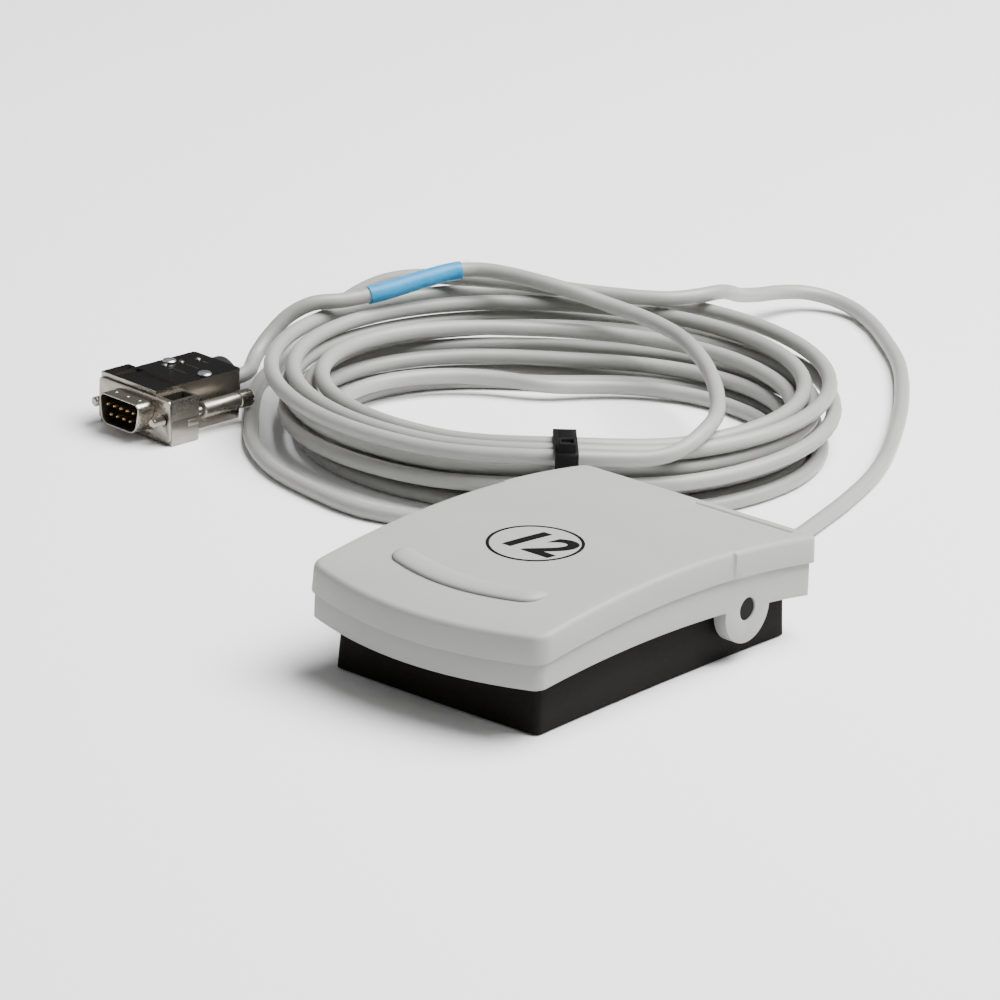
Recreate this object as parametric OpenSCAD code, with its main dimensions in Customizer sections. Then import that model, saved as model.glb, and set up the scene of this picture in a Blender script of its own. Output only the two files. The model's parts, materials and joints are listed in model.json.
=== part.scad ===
// Single-pedal foot switch: an arched lid hinged on a tub base, with a microswitch
// and a return spring inside, and a long lead wound in a coil that ends in a
// nine-pole plug in a metal hood.
// The origin is on the floor below the middle of the lid. The toe points to -Y.

/* [Lid] */
// Length of the lid, with its bowed front
lid_l = 123; // [116:1:130]
// Width of the lid across its lip
lid_w = 79.8; // [78:0.2:86]
// How far the front edge bows forward of its corners
front_bow = 7.6; // [4:0.2:9]
// Wall of the cover and of the pedal frame
lid_wall = 2.4; // [2:0.1:2.8]
// Height of the cover's side band
cover_h = 7.6; // [7:0.2:9]
// Height of the top edge at the front corners
top_front_z = 29.9; // [29.5:0.1:33]
// Height of the top edge at the rear corners
top_rear_z = 28.5; // [28:0.1:32]
// Rise of the arched top above the line between its corners
arch_rise = 4.6; // [3:0.1:6]
// Height of the skirt's lower edge at the front corners
skirt_front_z = 15; // [14:0.1:15.5]
// Height of the skirt's lower edge at the rear corners
skirt_rear_z = 11.3; // [11:0.1:13]
// Rise of the skirt's lower edge above the line between its corners
skirt_rise = 3.9; // [2.5:0.1:4]
// Overhang of the cover beyond the pedal frame
lip_step = 1; // [0.6:0.1:1.4]
// Rounding of the cover's top edge
edge_r = 1.5; // [0.8:0.1:2]
// Rounding of the lid's upright corners
corner_r = 3.2; // [2.8:0.1:5]
// Extra width of the cover on each side behind the hinge shoulder
shoulder = 0.8; // [0:0.1:1.2]
// Length of the grip ridge across the toe
ridge_l = 50; // [40:1:60]
// Height of the grip ridge
ridge_h = 1.2; // [0.8:0.1:1.6]

/* [Base] */
// Width of the base at the floor
base_w = 69; // [67:0.2:70]
// Length of the base
base_l = 104.6; // [100:0.2:106]
// Wall of the base
base_wall = 2.6; // [2:0.1:3]
// Thickness of the base's floor
floor_t = 2.8; // [2.6:0.1:3.2]
// Lean of the base's walls, from floor to rim
base_draft = 0.7; // [0.2:0.1:1]
// Diameter of a rubber foot
foot_d = 10; // [8:0.5:12]
// How far the feet stand below the base
foot_out = 0.5; // [0.3:0.1:0.8]

/* [Hinge] */
// Distance of the hinge axis from the lid's rear edge
hinge_back = 29; // [27:0.5:31]
// Height of the hinge axis
hinge_z = 14.8; // [14:0.1:15.5]
// Angle that the lid turns through when it is pressed
travel = 4; // [3:0.1:4]
// Diameter of the pivot shaft
shaft_d = 4; // [3:0.1:5]
// Diameter of a pivot cap, on which an ear of the lid turns
cap_d = 6.4; // [6.2:0.1:7.2]
// Radius of an ear
ear_r = 9.4; // [8.8:0.1:9.8]
// Thickness of an ear
ear_t = 4; // [3.4:0.1:4.2]

/* [Switch and spring] */
// Distance of the plunger in front of the hinge axis
plunger_arm = 22; // [20:0.5:24]
// Diameter of the plunger
plunger_d = 3; // [2.4:0.1:3.4]
// Length of the microswitch case
case_l = 19.8; // [18:0.2:22]
// Height of the microswitch case
case_h = 8.8; // [8:0.2:9.2]
// Thickness of the microswitch case
case_t = 6.4; // [5.6:0.2:7]
// Distance of the return spring in front of the hinge axis
spring_arm = 57; // [54:0.5:60]
// Outer diameter of the return spring
spring_d = 10; // [9:0.2:11]
// Wire of the return spring
spring_wire = 1; // [0.8:0.1:1.2]
// Turns of the return spring
spring_turns = 6; // [5:1:7]

/* [Cable] */
// Diameter of the cable
cable_d = 4.6; // [4.4:0.1:4.7]
// Outer radius of the coil, at the cable's centre
coil_r = 84; // [83:0.5:86]
// Spacing of neighbouring turns where the tie holds them
turn_pitch = 5.5; // [5.3:0.1:5.8]
// Further spacing of the turns on the far side of the coil
pitch_spread = 4; // [3:0.1:5]
// Height from one layer of the coil to the next
layer_h = 5.2; // [5.1:0.1:5.4]
// Width of the cable tie's strap
strap_w = 6.6; // [4:0.2:7]
// Thickness of the cable tie's strap
strap_t = 1.1; // [0.8:0.1:1.2]
// Length of the marker label on the cable
label_l = 32; // [26:1:34]

/* [Plug] */
// Width of the plug's flange
flange_w = 30.8; // [30.8:0.1:31.4]
// Height of the plug's flange
flange_h = 12.5; // [12.4:0.1:12.8]
// Distance between the two thumbscrews
screw_span = 25; // [24.8:0.1:25.2]
// Length of the hood behind the flange
hood_l = 34.5; // [31:0.5:35]
// Height of the hood
hood_h = 15.2; // [14.8:0.2:16]
// Wall of the hood
hood_wall = 1.2; // [1:0.1:1.4]
// Length of a thumbscrew's knurled barrel
barrel_l = 19.5; // [16:0.5:20]
// Diameter of a thumbscrew's barrel
barrel_d = 4.9; // [4.4:0.1:5.2]

/* [Hidden] */

$fn = 48;
cut = 1;             // overrun of every cut
fit_gap = 0.1;       // gap between fixed pieces that fit together
run_gap = 0.05;      // radial gap between pieces that turn or slide
press_gap = 0.02;    // radial gap of a pressed fit
seam = 0.15;         // visible seam between cover and pedal frame
grey = [0.79, 0.79, 0.77];
black = [0.1, 0.1, 0.1];
steel = [0.66, 0.66, 0.67];
nickel = [0.72, 0.7, 0.66];
brass = [0.75, 0.6, 0.3];
rubber = [0.14, 0.14, 0.14];
cream = [0.85, 0.84, 0.8];

// Places of the lid
lid_y0 = -lid_l / 2;
lid_y1 = lid_l / 2;
lid_cy = lid_y0 + front_bow;
hinge_y = lid_y1 - hinge_back;
shoulder_run = 1;
shoulder_y = hinge_y - ear_r + shoulder_run;
cover_draft = 0.45;
frame_w = lid_w - 2 * lip_step;
frame_in = frame_w / 2 - lid_wall;

// Deck of the pedal frame, which carries the cover and the actuator
deck_z = 23;
deck_t = 2;
deck_y0 = lid_cy + corner_r + 2 * lid_wall;
deck_y1 = lid_y1 - corner_r - 4 * lid_wall;

// Places of the base
base_back = 5.8;     // set-back of the base behind the lid's rear edge
base_y1 = lid_y1 - base_back;
base_y0 = base_y1 - base_l;
base_r = 1.8;
base_bow = 0.5;
base_waist = 0.8;
rim_gap = 0.9;       // gap between rim and deck when the lid is down
rim_top_z = deck_z - 2 * rim_gap;
base_in_y1 = base_y1 - base_wall;
base_in_x = base_w / 2 - base_wall;

// Step counts of the outlines
bow_n = 8;
arc_n = 4;
side_n = 6;

// Height along a curve that is an arch from front to rear
function arch(y, front_z, rear_z, rise) =
    let (s = (y - lid_cy) / (lid_y1 - lid_cy))
    front_z + (rear_z - front_z) * s + 4 * rise * s * (1 - s);
top_at = function(y) arch(y, top_front_z, top_rear_z, arch_rise);
lip_at = function(y) top_at(y) - cover_h;
skirt_at = function(y) arch(y, skirt_front_z, skirt_rear_z, skirt_rise);
level = function(z) function(y) z;

// The rim slopes so that it lies along the deck when the lid is down
rim_at = function(y)
    min(rim_top_z, deck_z - rim_gap - max(hinge_y - y, 0) * tan(travel) - base_draft);

// Right half of an outline, from the middle of the front to the rear corner
function half_outline(w, y0, y1, r, bow, waist, step, step_y) =
    let (lean = atan(4 * bow / w), cx = w / 2 - r, ex = cx + r * sin(lean),
         cy = y0 + bow * pow(2 * ex / w, 2) + r * cos(lean),
         side_l = y1 - r - cy, far_y = step_y + shoulder_run)
    concat(
        [for (i = [0 : bow_n - 1]) let (x = ex * i / bow_n) [x, y0 + bow * pow(2 * x / w, 2)]],
        [for (i = [0 : arc_n]) let (a = -90 + lean + (90 - lean) * i / arc_n)
            [cx + r * cos(a), cy + r * sin(a)]],
        [for (i = [1 : side_n]) let (y = cy + (step_y - cy) * i / side_n, s = (y - cy) / side_l)
            [w / 2 - 4 * waist * s * (1 - s), y]],
        [for (i = [0 : side_n - 1]) let (y = far_y + (y1 - r - far_y) * i / side_n,
            s = (y - cy) / side_l) [w / 2 + step - 4 * waist * s * (1 - s), y]],
        [for (i = [0 : arc_n]) let (a = 90 * i / arc_n)
            [cx + step + r * cos(a), y1 - r + r * sin(a)]]);

// Whole ring of points at the height that a function of y gives
function ring_at(half, z_at, lift = 0) =
    let (n = len(half))
    [for (i = [0 : 2 * n - 2]) let (p = i < n ? half[i] : half[2 * n - 1 - i])
        [i < n ? p[0] : -p[0], p[1], z_at(p[1]) + lift]];

function lid_ring(inset, z_at, lift = 0, step = shoulder) =
    ring_at(half_outline(lid_w - 2 * inset, lid_y0 + inset, lid_y1 - inset,
        max(corner_r - inset, edge_r / 2), front_bow, 0, step, shoulder_y), z_at, lift);

function base_ring(inset, z_at, lift = 0) =
    ring_at(half_outline(base_w - 2 * inset, base_y0 + inset, base_y1 - inset,
        max(base_r - inset, base_r / 2), base_bow, base_waist, 0, shoulder_y), z_at, lift);

function side_faces(m, n, closed = false) =
    [for (k = [0 : closed ? m - 1 : m - 2], i = [0 : n - 1])
        let (a = k * n + i, b = k * n + (i + 1) % n,
             d = ((k + 1) % m) * n + i, c = ((k + 1) % m) * n + (i + 1) % n)
        each [[a, d, c], [a, c, b]]];

// Solid through rings that mirror left to right, capped by strips across them
module loft(rings, closed = false) {
    n = len(rings[0]);
    m = len(rings);
    h = (n + 1) / 2;
    top = (m - 1) * n;
    caps = closed ? [] : concat(
        [for (i = [0 : h - 2]) each [[i, i + 1, n - i - 1],
            [top + i + 1, top + i, top + n - i - 1]]],
        [for (i = [1 : h - 2]) each [[i, n - i - 1, n - i],
            [top + n - i - 1, top + i, top + n - i]]]);
    polyhedron([for (r = rings) each r], concat(side_faces(m, n, closed), caps));
}

function unit(v) = v / norm(v);
function heading(path, i) =
    unit(path[min(i + 1, len(path) - 1)] - path[max(i - 1, 0)]);
function section(c, t, r, n, up, flat, turn) =
    let (e1 = unit(cross(t, up)), e2 = cross(t, e1) * flat)
    [for (k = [0 : n - 1]) let (a = 360 * (k + turn) / n) c + r * (cos(a) * e1 + sin(a) * e2)];

// Tube along a path, with one radius for each point of the path
module tube(path, radii, n = 8, up = [0, 0, 1], flat = 1, turn = 0.5) {
    m = len(path);
    rings = [for (i = [0 : m - 1]) each section(path[i], heading(path, i),
        is_list(radii) ? radii[i] : radii, n, up, flat, turn)];
    last = (m - 1) * n;
    caps = [for (i = [1 : n - 2]) each [[0, i, i + 1], [last, last + i + 1, last + i]]];
    polyhedron(rings, concat(side_faces(m, n), caps));
}

// Smooth curve through route points, at u counted in points
function spline(p, u) =
    let (n = len(p), i = min(floor(u), n - 2), s = u - i,
         a = p[max(i - 1, 0)], b = p[i], c = p[i + 1], d = p[min(i + 2, n - 1)])
    (2 * b + (c - a) * s + (2 * a - 5 * b + 4 * c - d) * s * s
        + (3 * b - 3 * c + d - a) * s * s * s) / 2;
function smooth(p, steps) = [for (i = [0 : steps]) spline(p, (len(p) - 1) * i / steps)];

// Plain pieces
module rod_x(r, x0, x1) {
    translate([x0, 0, 0]) rotate([0, 90, 0]) cylinder(r = r, h = x1 - x0);
}
module rod_y(r, y0, y1) {
    translate([0, y0, 0]) rotate([-90, 0, 0]) cylinder(r = r, h = y1 - y0);
}
module block(x0, x1, y0, y1, z0, z1) {
    translate([x0, y0, z0]) cube([x1 - x0, y1 - y0, z1 - z0]);
}
module each_side() {
    children();
    mirror([1, 0, 0]) children();
}

// Base

foot_in = 8.5;       // inset of a foot's centre from the base's sides
foot_deep = 1.6;     // depth of the pocket that holds a foot
foot_x = base_w / 2 - foot_in;
foot_front_y = base_y0 + foot_in;
foot_rear_y = base_y1 - foot_in;
boss_l = 6;
boss_r = shaft_d / 2 + 2.6;
cable_z = 6.8;       // height of the cable's axis in the base's rear wall
gland_r = 3.5;
gland_neck_r = 3;
gland_flange = 1.2;
gland_l = 16;
spring_y = hinge_y - spring_arm;
spring_in_r = spring_d / 2 - spring_wire;
post_r = spring_in_r - 4 * fit_gap;
post_h = 4.5;
spring_z0 = floor_t + fit_gap;
spring_z1 = deck_z - fit_gap;
pad_d = 8;
pad_t = 1.5;
pad_x = base_in_x - pad_d / 2 - base_draft - fit_gap;
pad_y = base_y0 + base_wall + base_bow + base_draft + pad_d / 2 + 3 * fit_gap;
ledge_start = 0.8;   // share of the front wall that a ledge reaches through
// The pressed deck meets the pads
pad_z = deck_z - (hinge_y - pad_y + pad_d / 2) * tan(travel) - fit_gap - pad_t - foot_out;

module base_boss() {
    x0 = base_in_x - boss_l;
    translate([0, hinge_y, hinge_z]) rod_x(boss_r, x0, base_in_x);
    block(x0, base_in_x, hinge_y - boss_r, hinge_y + boss_r, floor_t / 2, hinge_z);
}

module pad_ledge() {
    block(pad_x - pad_d / 2, base_in_x, base_y0 + ledge_start * base_wall,
        pad_y + pad_d / 2, floor_t / 2, pad_z);
}

module base_housing() color(black) difference() {
    union() {
        loft([base_ring(0, level(foot_out)), base_ring(base_draft, rim_at),
            base_ring(base_wall + base_draft, rim_at),
            base_ring(base_wall, level(foot_out + floor_t))]);
        translate([0, 0, foot_out]) each_side() {
            base_boss();
            pad_ledge();
        }
        translate([0, spring_y, foot_out + floor_t / 2])
            cylinder(r = post_r, h = floor_t / 2 + post_h);
        for (x = [-1, 1]) translate([x * clamp_x, clamp_y, foot_out + floor_t / 2])
            cylinder(r = clamp_boss_r, h = clamp_z - foot_out - floor_t / 2);
    }
    translate([0, hinge_y, hinge_z])
        rod_x(shaft_d / 2 + press_gap, -base_w, base_w);
    translate([0, 0, cable_z]) rod_y(gland_neck_r + fit_gap, base_in_y1 - cut, base_y1 + cut);
    for (x = [-foot_x, foot_x], y = [foot_front_y, foot_rear_y])
        translate([x, y, foot_out - cut]) cylinder(r = foot_d / 2 + fit_gap, h = foot_deep + cut);
    for (x = [-1, 1]) translate([x * clamp_x, clamp_y, clamp_z - clamp_thread])
        cylinder(r = clamp_screw_r + press_gap, h = clamp_thread + cut);
    for (x = bracket_xs) translate([x, bracket_y, foot_out - cut])
        cylinder(r = bracket_screw_r + press_gap, h = floor_t + 2 * cut);
}

module rubber_feet() color(rubber)
    for (x = [-foot_x, foot_x], y = [foot_front_y, foot_rear_y])
        translate([x, y, 0]) cylinder(r = foot_d / 2, h = foot_out + foot_deep);

module stop_pads() color(rubber) each_side()
    translate([pad_x, pad_y, foot_out + pad_z]) cylinder(r = pad_d / 2, h = pad_t);

// Hinge

ear_x1 = frame_w / 2;
ear_x0 = ear_x1 - ear_t;
cap_x0 = base_w / 2 - base_draft / 2 + 2 * fit_gap;
cap_x1 = ear_x1 - 3 * fit_gap;
cap_end = 1;
shaft_x1 = cap_x1 - cap_end;

module pivot_shaft() color(steel) translate([0, hinge_y, hinge_z])
    rod_x(shaft_d / 2, -shaft_x1, shaft_x1);

module pivot_caps() color(black) each_side() translate([0, hinge_y, hinge_z])
    difference() {
        rod_x(cap_d / 2, cap_x0, cap_x1);
        rod_x(shaft_d / 2 + press_gap, cap_x0 - cut, shaft_x1 + press_gap);
    }

// Microswitch on its bracket

plunger_y = hinge_y - plunger_arm;
actuator_gap = 0.3;
stroke = plunger_arm * travel * PI / 180;
plunger_out = stroke + 0.5;
nut_h = 2;
actuator_out = 2.2;
plunger_top = deck_z - actuator_out - actuator_gap;
case_z1 = plunger_top - plunger_out;
case_z0 = case_z1 - case_h;
plunger_x = 0;
case_x1 = plunger_x + case_l / 4;
case_x0 = case_x1 - case_l;
case_y0 = plunger_y - case_t / 2;
case_y1 = plunger_y + case_t / 2;
plunger_in = 2.4;
case_hole_r = 1.15;
case_hole_z = case_z0 + case_h / 3;
case_hole_span = 9.5;
case_hole_xs = [for (s = [-1, 1]) (case_x0 + case_x1) / 2 + s * case_hole_span / 2];
bracket_t = 1.4;
bracket_foot = 9;
bracket_y0 = case_y1 + fit_gap;
bracket_y = bracket_y0 + bracket_foot / 2 + bracket_t / 2;
bracket_xs = [for (s = [-1, 1]) (case_x0 + case_x1) / 2 + s * case_l / 3];
bracket_z0 = foot_out + floor_t;
bracket_screw_r = 1.2;
head_r = 2.1;
head_h = 1.4;
terminal_w = 3.2;
terminal_t = 0.5;
terminal_l = 4.6;
terminal_xs = [for (s = [-1, 0, 1]) (case_x0 + case_x1) / 2 + s * case_l / 3];

module switch_bracket() color(steel) difference() {
    union() {
        block(case_x0, case_x1, bracket_y0, bracket_y0 + bracket_t, bracket_z0,
            case_z1 - bracket_t);
        block(case_x0, case_x1, bracket_y0, bracket_y0 + bracket_foot, bracket_z0,
            bracket_z0 + bracket_t);
    }
    for (x = case_hole_xs) translate([x, 0, case_hole_z])
        rod_y(case_hole_r, bracket_y0 - cut, bracket_y0 + bracket_t + cut);
    for (x = bracket_xs) translate([x, bracket_y, bracket_z0 - cut])
        cylinder(r = bracket_screw_r + fit_gap, h = bracket_t + 2 * cut);
}

module bracket_screws() color(steel) for (x = bracket_xs)
    translate([x, bracket_y, foot_out]) {
        cylinder(r = bracket_screw_r, h = floor_t + bracket_t + head_h / 2);
        difference() {
            translate([0, 0, floor_t + bracket_t]) cylinder(r = head_r, h = head_h);
            translate([0, 0, floor_t + bracket_t + head_h / 2])
                cylinder(r = head_r / 2, h = head_h, $fn = 6);
        }
    }

module microswitch_case() color(black) difference() {
    union() {
        block(case_x0, case_x1, case_y0, case_y1, case_z0, case_z1);
        translate([plunger_x, plunger_y, case_z1])
            cylinder(r = plunger_d / 2 + 4 * run_gap + spring_wire / 2, h = plunger_out / 8);
    }
    translate([plunger_x, plunger_y, case_z1 - plunger_in - stroke - 2 * fit_gap])
        cylinder(r = plunger_d / 2 + run_gap, h = plunger_in + stroke + 2 * fit_gap + cut);
    for (x = case_hole_xs) translate([x, 0, case_hole_z])
        rod_y(case_hole_r, case_y0 - cut, case_y1 + cut);
    for (x = terminal_xs)
        block(x - terminal_w / 2 - fit_gap, x + terminal_w / 2 + fit_gap,
            plunger_y - terminal_t / 2 - fit_gap, plunger_y + terminal_t / 2 + fit_gap,
            case_z0 - cut, case_z0 + terminal_w / 2 + fit_gap);
}

module microswitch_plunger() color([0.7, 0.15, 0.12])
    translate([plunger_x, plunger_y, case_z1 - plunger_in]) {
        cylinder(r = plunger_d / 2, h = plunger_in + plunger_out - plunger_d / 4);
        translate([0, 0, plunger_in + plunger_out - plunger_d / 4])
            cylinder(r1 = plunger_d / 2, r2 = plunger_d / 4, h = plunger_d / 4);
    }

module microswitch_terminals() color(brass) for (x = terminal_xs) difference() {
    block(x - terminal_w / 2, x + terminal_w / 2, plunger_y - terminal_t / 2,
        plunger_y + terminal_t / 2, case_z0 - terminal_l, case_z0 + terminal_w / 2);
    translate([x, plunger_y - cut, case_z0 - terminal_l + terminal_w / 2])
        rod_y(terminal_w / 5, 0, 2 * cut);
}

module microswitch_screws() color(steel) for (x = case_hole_xs)
    translate([x, 0, case_hole_z]) {
        rod_y(case_hole_r - press_gap, case_y0 - head_h / 2, bracket_y0 + bracket_t);
        rod_y(head_r, case_y0 - head_h, case_y0);
        difference() {
            rod_y(head_r, bracket_y0 + bracket_t, bracket_y0 + bracket_t + head_h);
            rod_y(case_hole_r - press_gap, bracket_y0, bracket_y0 + bracket_t + head_h / 2);
        }
    }

// Wires, clamp and gland

wire_r = 0.75;
clamp_back = 9;      // distance of the clamp from the base's rear wall
clamp_y = base_in_y1 - clamp_back;
clamp_w = 7;
clamp_t = 1.6;
clamp_screw_r = 1.3;
clamp_boss_r = 3;
clamp_x = cable_d / 2 + clamp_boss_r + 2 * fit_gap;
clamp_z = cable_z + cable_d / 2 + fit_gap;
clamp_thread = 6;
inner_y0 = clamp_y - clamp_w / 2 - cable_d;
gland_y1 = base_y1 + gland_l;

module wire(x0, x1) {
    z0 = case_z0 - terminal_l + terminal_w / 2;
    y0 = plunger_y - terminal_t / 2 - wire_r;
    low_z = bracket_z0 + bracket_t + head_h + 2 * wire_r;
    far_x = sign(x0 == 0 ? 1 : x0) * 0;
    tube(smooth([
        [x0, y0, z0 + 2 * wire_r], [x0, y0, z0],
        [x0 - far_x, y0 - wire_r, z0 - 2 * wire_r],
        [case_x1 + case_l / 4 + x1, y0 - wire_r, low_z],
        [case_x1 + case_l / 3 + x1, bracket_y, low_z],
        [case_x1 / 2 + 2 * x1, (bracket_y + inner_y0) / 2, low_z],
        [x1, inner_y0 - cable_d, cable_z],
        [x1, inner_y0 - fit_gap, cable_z]], 24), wire_r, 6, up = [1, 0.2, 0.1]);
}

module lead_wires() color([0.75, 0.72, 0.6])
    for (i = [0 : 1]) wire(terminal_xs[2 * i], (2 * i - 1) * 1.2 * wire_r);

module inner_lead() color(cream) translate([0, 0, cable_z])
    rod_y(cable_d / 2, inner_y0, gland_y1);

module clamp_bar() color(steel) difference() {
    block(-clamp_x - clamp_boss_r, clamp_x + clamp_boss_r, clamp_y - clamp_w / 2,
        clamp_y + clamp_w / 2, clamp_z, clamp_z + clamp_t);
    for (x = [-1, 1]) translate([x * clamp_x, clamp_y, clamp_z - cut])
        cylinder(r = clamp_screw_r + fit_gap, h = clamp_t + 2 * cut);
}

module clamp_screws() color(steel) for (x = [-1, 1])
    translate([x * clamp_x, clamp_y, clamp_z]) {
        translate([0, 0, -clamp_thread + fit_gap])
            cylinder(r = clamp_screw_r, h = clamp_thread + clamp_t);
        difference() {
            translate([0, 0, clamp_t]) cylinder(r = head_r, h = head_h);
            translate([0, 0, clamp_t + head_h / 2])
                cylinder(r = head_r / 2, h = head_h, $fn = 6);
        }
    }

module cable_gland() color(rubber) translate([0, 0, cable_z]) difference() {
    union() {
        rod_y(gland_neck_r, base_in_y1 - gland_flange, base_y1 + gland_flange);
        rod_y(gland_r, base_in_y1 - gland_flange - 5 * fit_gap, base_in_y1 - 5 * fit_gap);
        translate([0, base_y1 + fit_gap, 0]) rotate([-90, 0, 0])
            cylinder(r1 = gland_r + gland_flange / 4, r2 = cable_d / 2 + 6 * fit_gap,
                h = gland_l - fit_gap);
    }
    rod_y(cable_d / 2 + press_gap, base_in_y1 - 2 * gland_flange, gland_y1 + cut);
    for (k = [1 : gland_slots]) translate([0, base_y1 + k * gland_l / (gland_slots + 1), 0])
        gland_groove(k % 2 * 90);
}

gland_slots = 5;
slot_w = 1;

// Pair of slots that let the gland bend
module gland_groove(turn) rotate([0, turn, 0]) each_side()
    block(cable_d / 2 + 2 * fit_gap, gland_r + gland_flange, -slot_w / 2, slot_w / 2,
        -gland_r / 2, gland_r / 2);

// Return spring

function spring_point(t) =
    let (a = 360 * spring_turns * t, r = spring_d / 2 - spring_wire / 2,
         rise = spring_z1 - spring_z0 - foot_out - spring_wire)
    [r * cos(a), spring_y + r * sin(a), foot_out + spring_z0 + spring_wire / 2 + rise * t];

module return_spring() color(steel)
    tube([for (i = [0 : 12 * spring_turns]) spring_point(i / (12 * spring_turns))],
        spring_wire / 2, 6);

// Lid

pillar_r = 3.2;
cover_screw_r = 1.3;
pillar_in = 9;
pillar_x = frame_in - pillar_in;
pillar_back = 13;    // distance of the front pillars behind the deck's front edge
pillar_ys = [deck_y0 + pillar_back, hinge_y + ear_r / 2];
actuator_r = 1.5;
actuator_boss_r = 4;

module pedal_frame() color(grey) difference() {
    union() {
        loft([lid_ring(lip_step, skirt_at, 0, 0), lid_ring(lip_step, lip_at, -seam, 0),
            lid_ring(lip_step + lid_wall, lip_at, -seam, 0),
            lid_ring(lip_step + lid_wall, skirt_at, 0, 0)], closed = true);
        each_side() translate([0, hinge_y, hinge_z]) rod_x(ear_r, ear_x0, ear_x1);
        block(-frame_in - lid_wall / 4, frame_in + lid_wall / 4, deck_y0, deck_y1,
            deck_z, deck_z + deck_t);
        translate([0, spring_y, deck_z - deck_t]) difference() {
            cylinder(r = spring_d / 2 + lid_wall, h = 2 * deck_t);
            translate([0, 0, -cut]) cylinder(r = spring_d / 2 + 4 * fit_gap, h = deck_t + cut);
        }
        translate([0, plunger_y, deck_z]) cylinder(r = actuator_boss_r, h = 2 * deck_t);
        for (x = [-pillar_x / 2, 0, pillar_x / 2]) block(x - deck_t / 2, x + deck_t / 2,
            deck_y0, plunger_y - actuator_boss_r, deck_z + deck_t / 2, deck_z + 1.5 * deck_t);
    }
    translate([0, hinge_y, hinge_z]) rod_x(cap_d / 2 + run_gap, -lid_w, lid_w);
    translate([0, plunger_y, deck_z - cut])
        cylinder(r = actuator_r + press_gap, h = 2 * deck_t + 2 * cut);
    for (x = [-pillar_x, pillar_x], y = pillar_ys) translate([x, y, deck_z - cut])
        cylinder(r = cover_screw_r + fit_gap, h = 2 * deck_t + cut);
}

module actuator_screw() color(steel) translate([plunger_x, plunger_y, deck_z - actuator_out])
    difference() {
        cylinder(r = actuator_r, h = actuator_out + 2 * deck_t - fit_gap);
        translate([0, 0, actuator_out + deck_t])
            cylinder(r = actuator_r / 2, h = 2 * deck_t, $fn = 6);
    }

module actuator_nut() color(steel) translate([plunger_x, plunger_y, deck_z - nut_h])
    difference() {
        cylinder(r = 2 * actuator_r, h = nut_h - press_gap, $fn = 6);
        translate([0, 0, -cut]) cylinder(r = actuator_r + press_gap, h = nut_h + 2 * cut);
    }

ridge_w = 7.4;
ridge_back = 11;     // distance of the ridge behind the middle of the front edge
ridge_n = 14;
ridge_ends = 0.12;   // share of the ridge's length that each rounded end takes

function ridge_point(s) =
    let (x = ridge_l / 2 * s, y = lid_y0 + ridge_back + front_bow * pow(2 * x / lid_w, 2))
    [x, y, top_at(y) - ridge_h / 8];
function ridge_fall(s) =
    let (e = max(abs(s) - 1 + 2 * ridge_ends, 0) / (2 * ridge_ends)) sqrt(1.01 - e * e);

// Pillar that hangs from the cover's underside onto the deck
module pillar(y) {
    z0 = deck_z + deck_t + fit_gap;
    z1 = min(top_at(y - pillar_r), top_at(y + pillar_r)) - lid_wall / 2;
    difference() {
        translate([0, y, z0]) cylinder(r = pillar_r, h = z1 - z0);
        translate([0, y, z0 - cut])
            cylinder(r = cover_screw_r + press_gap, h = cut + cover_screw_l - deck_t);
    }
}

cover_screw_l = 5;
plate_l = 30;        // bare shallow panel at the rear of the top
plate_w = 9;
plate_deep = 0.4;

module top_cover() color(grey) {
    side = [for (a = [0, 30, 60, 90])
        lid_ring(cover_draft + edge_r * (1 - cos(a)), top_at, edge_r * (sin(a) - 1))];
    union() {
        loft(concat([lid_ring(lid_wall + cover_draft, top_at, -lid_wall),
            lid_ring(lid_wall, lip_at), lid_ring(0, lip_at)], side));
        tube([for (i = [-ridge_n : ridge_n]) ridge_point(i / ridge_n)],
            [for (i = [-ridge_n : ridge_n]) ridge_w / 2 * ridge_fall(i / ridge_n)],
            n = 12, flat = 2 * (ridge_h + ridge_h / 8) / ridge_w);
        for (x = [-pillar_x, pillar_x], y = pillar_ys) translate([x, 0, 0]) pillar(y);
    }
}

module cover_screws() color(steel) for (x = [-pillar_x, pillar_x], y = pillar_ys)
    translate([x, y, deck_z]) {
        translate([0, 0, -fit_gap]) cylinder(r = cover_screw_r, h = cover_screw_l - fit_gap);
        difference() {
            translate([0, 0, -head_h]) cylinder(r = head_r, h = head_h);
            translate([0, 0, -head_h - cut]) cylinder(r = head_r / 2, h = cut + head_h / 2, $fn = 6);
        }
    }

// Cable
// The coil is one run of cable: it spirals in and out again in four layers, and
// climbs a layer in the half turn where the spiral reverses.

coil_x = -119;
coil_y = 144;
tie_turn = -48.6;    // bearing of the tie, as seen from the coil's centre
start_turn = -35;    // bearing at which the lead joins the coil
layers = 4;
layer_turns = 2.5;
turn_rings = 24;
lag = 11;            // how far each lower layer draws in on the far side
draw_in = 4;         // how far the whole coil draws in there
coil_wide = 2.2;     // further radius of the coil along one direction, which makes it oval
wide_turn = 39;      // bearing of that direction
tie_lift = strap_t + 4 * fit_gap;

function clamp01(v) = max(0, min(1, v));
function far_share(a) = pow((1 - cos(a - tie_turn)) / 2, 2);
function near_tie(a) =
    let (d = (a - tie_turn + 180) % 360, e = (d < 0 ? d + 360 : d) - 180)
    abs(e) < 30 ? (1 + cos(6 * e)) / 2 : 0;

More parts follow.
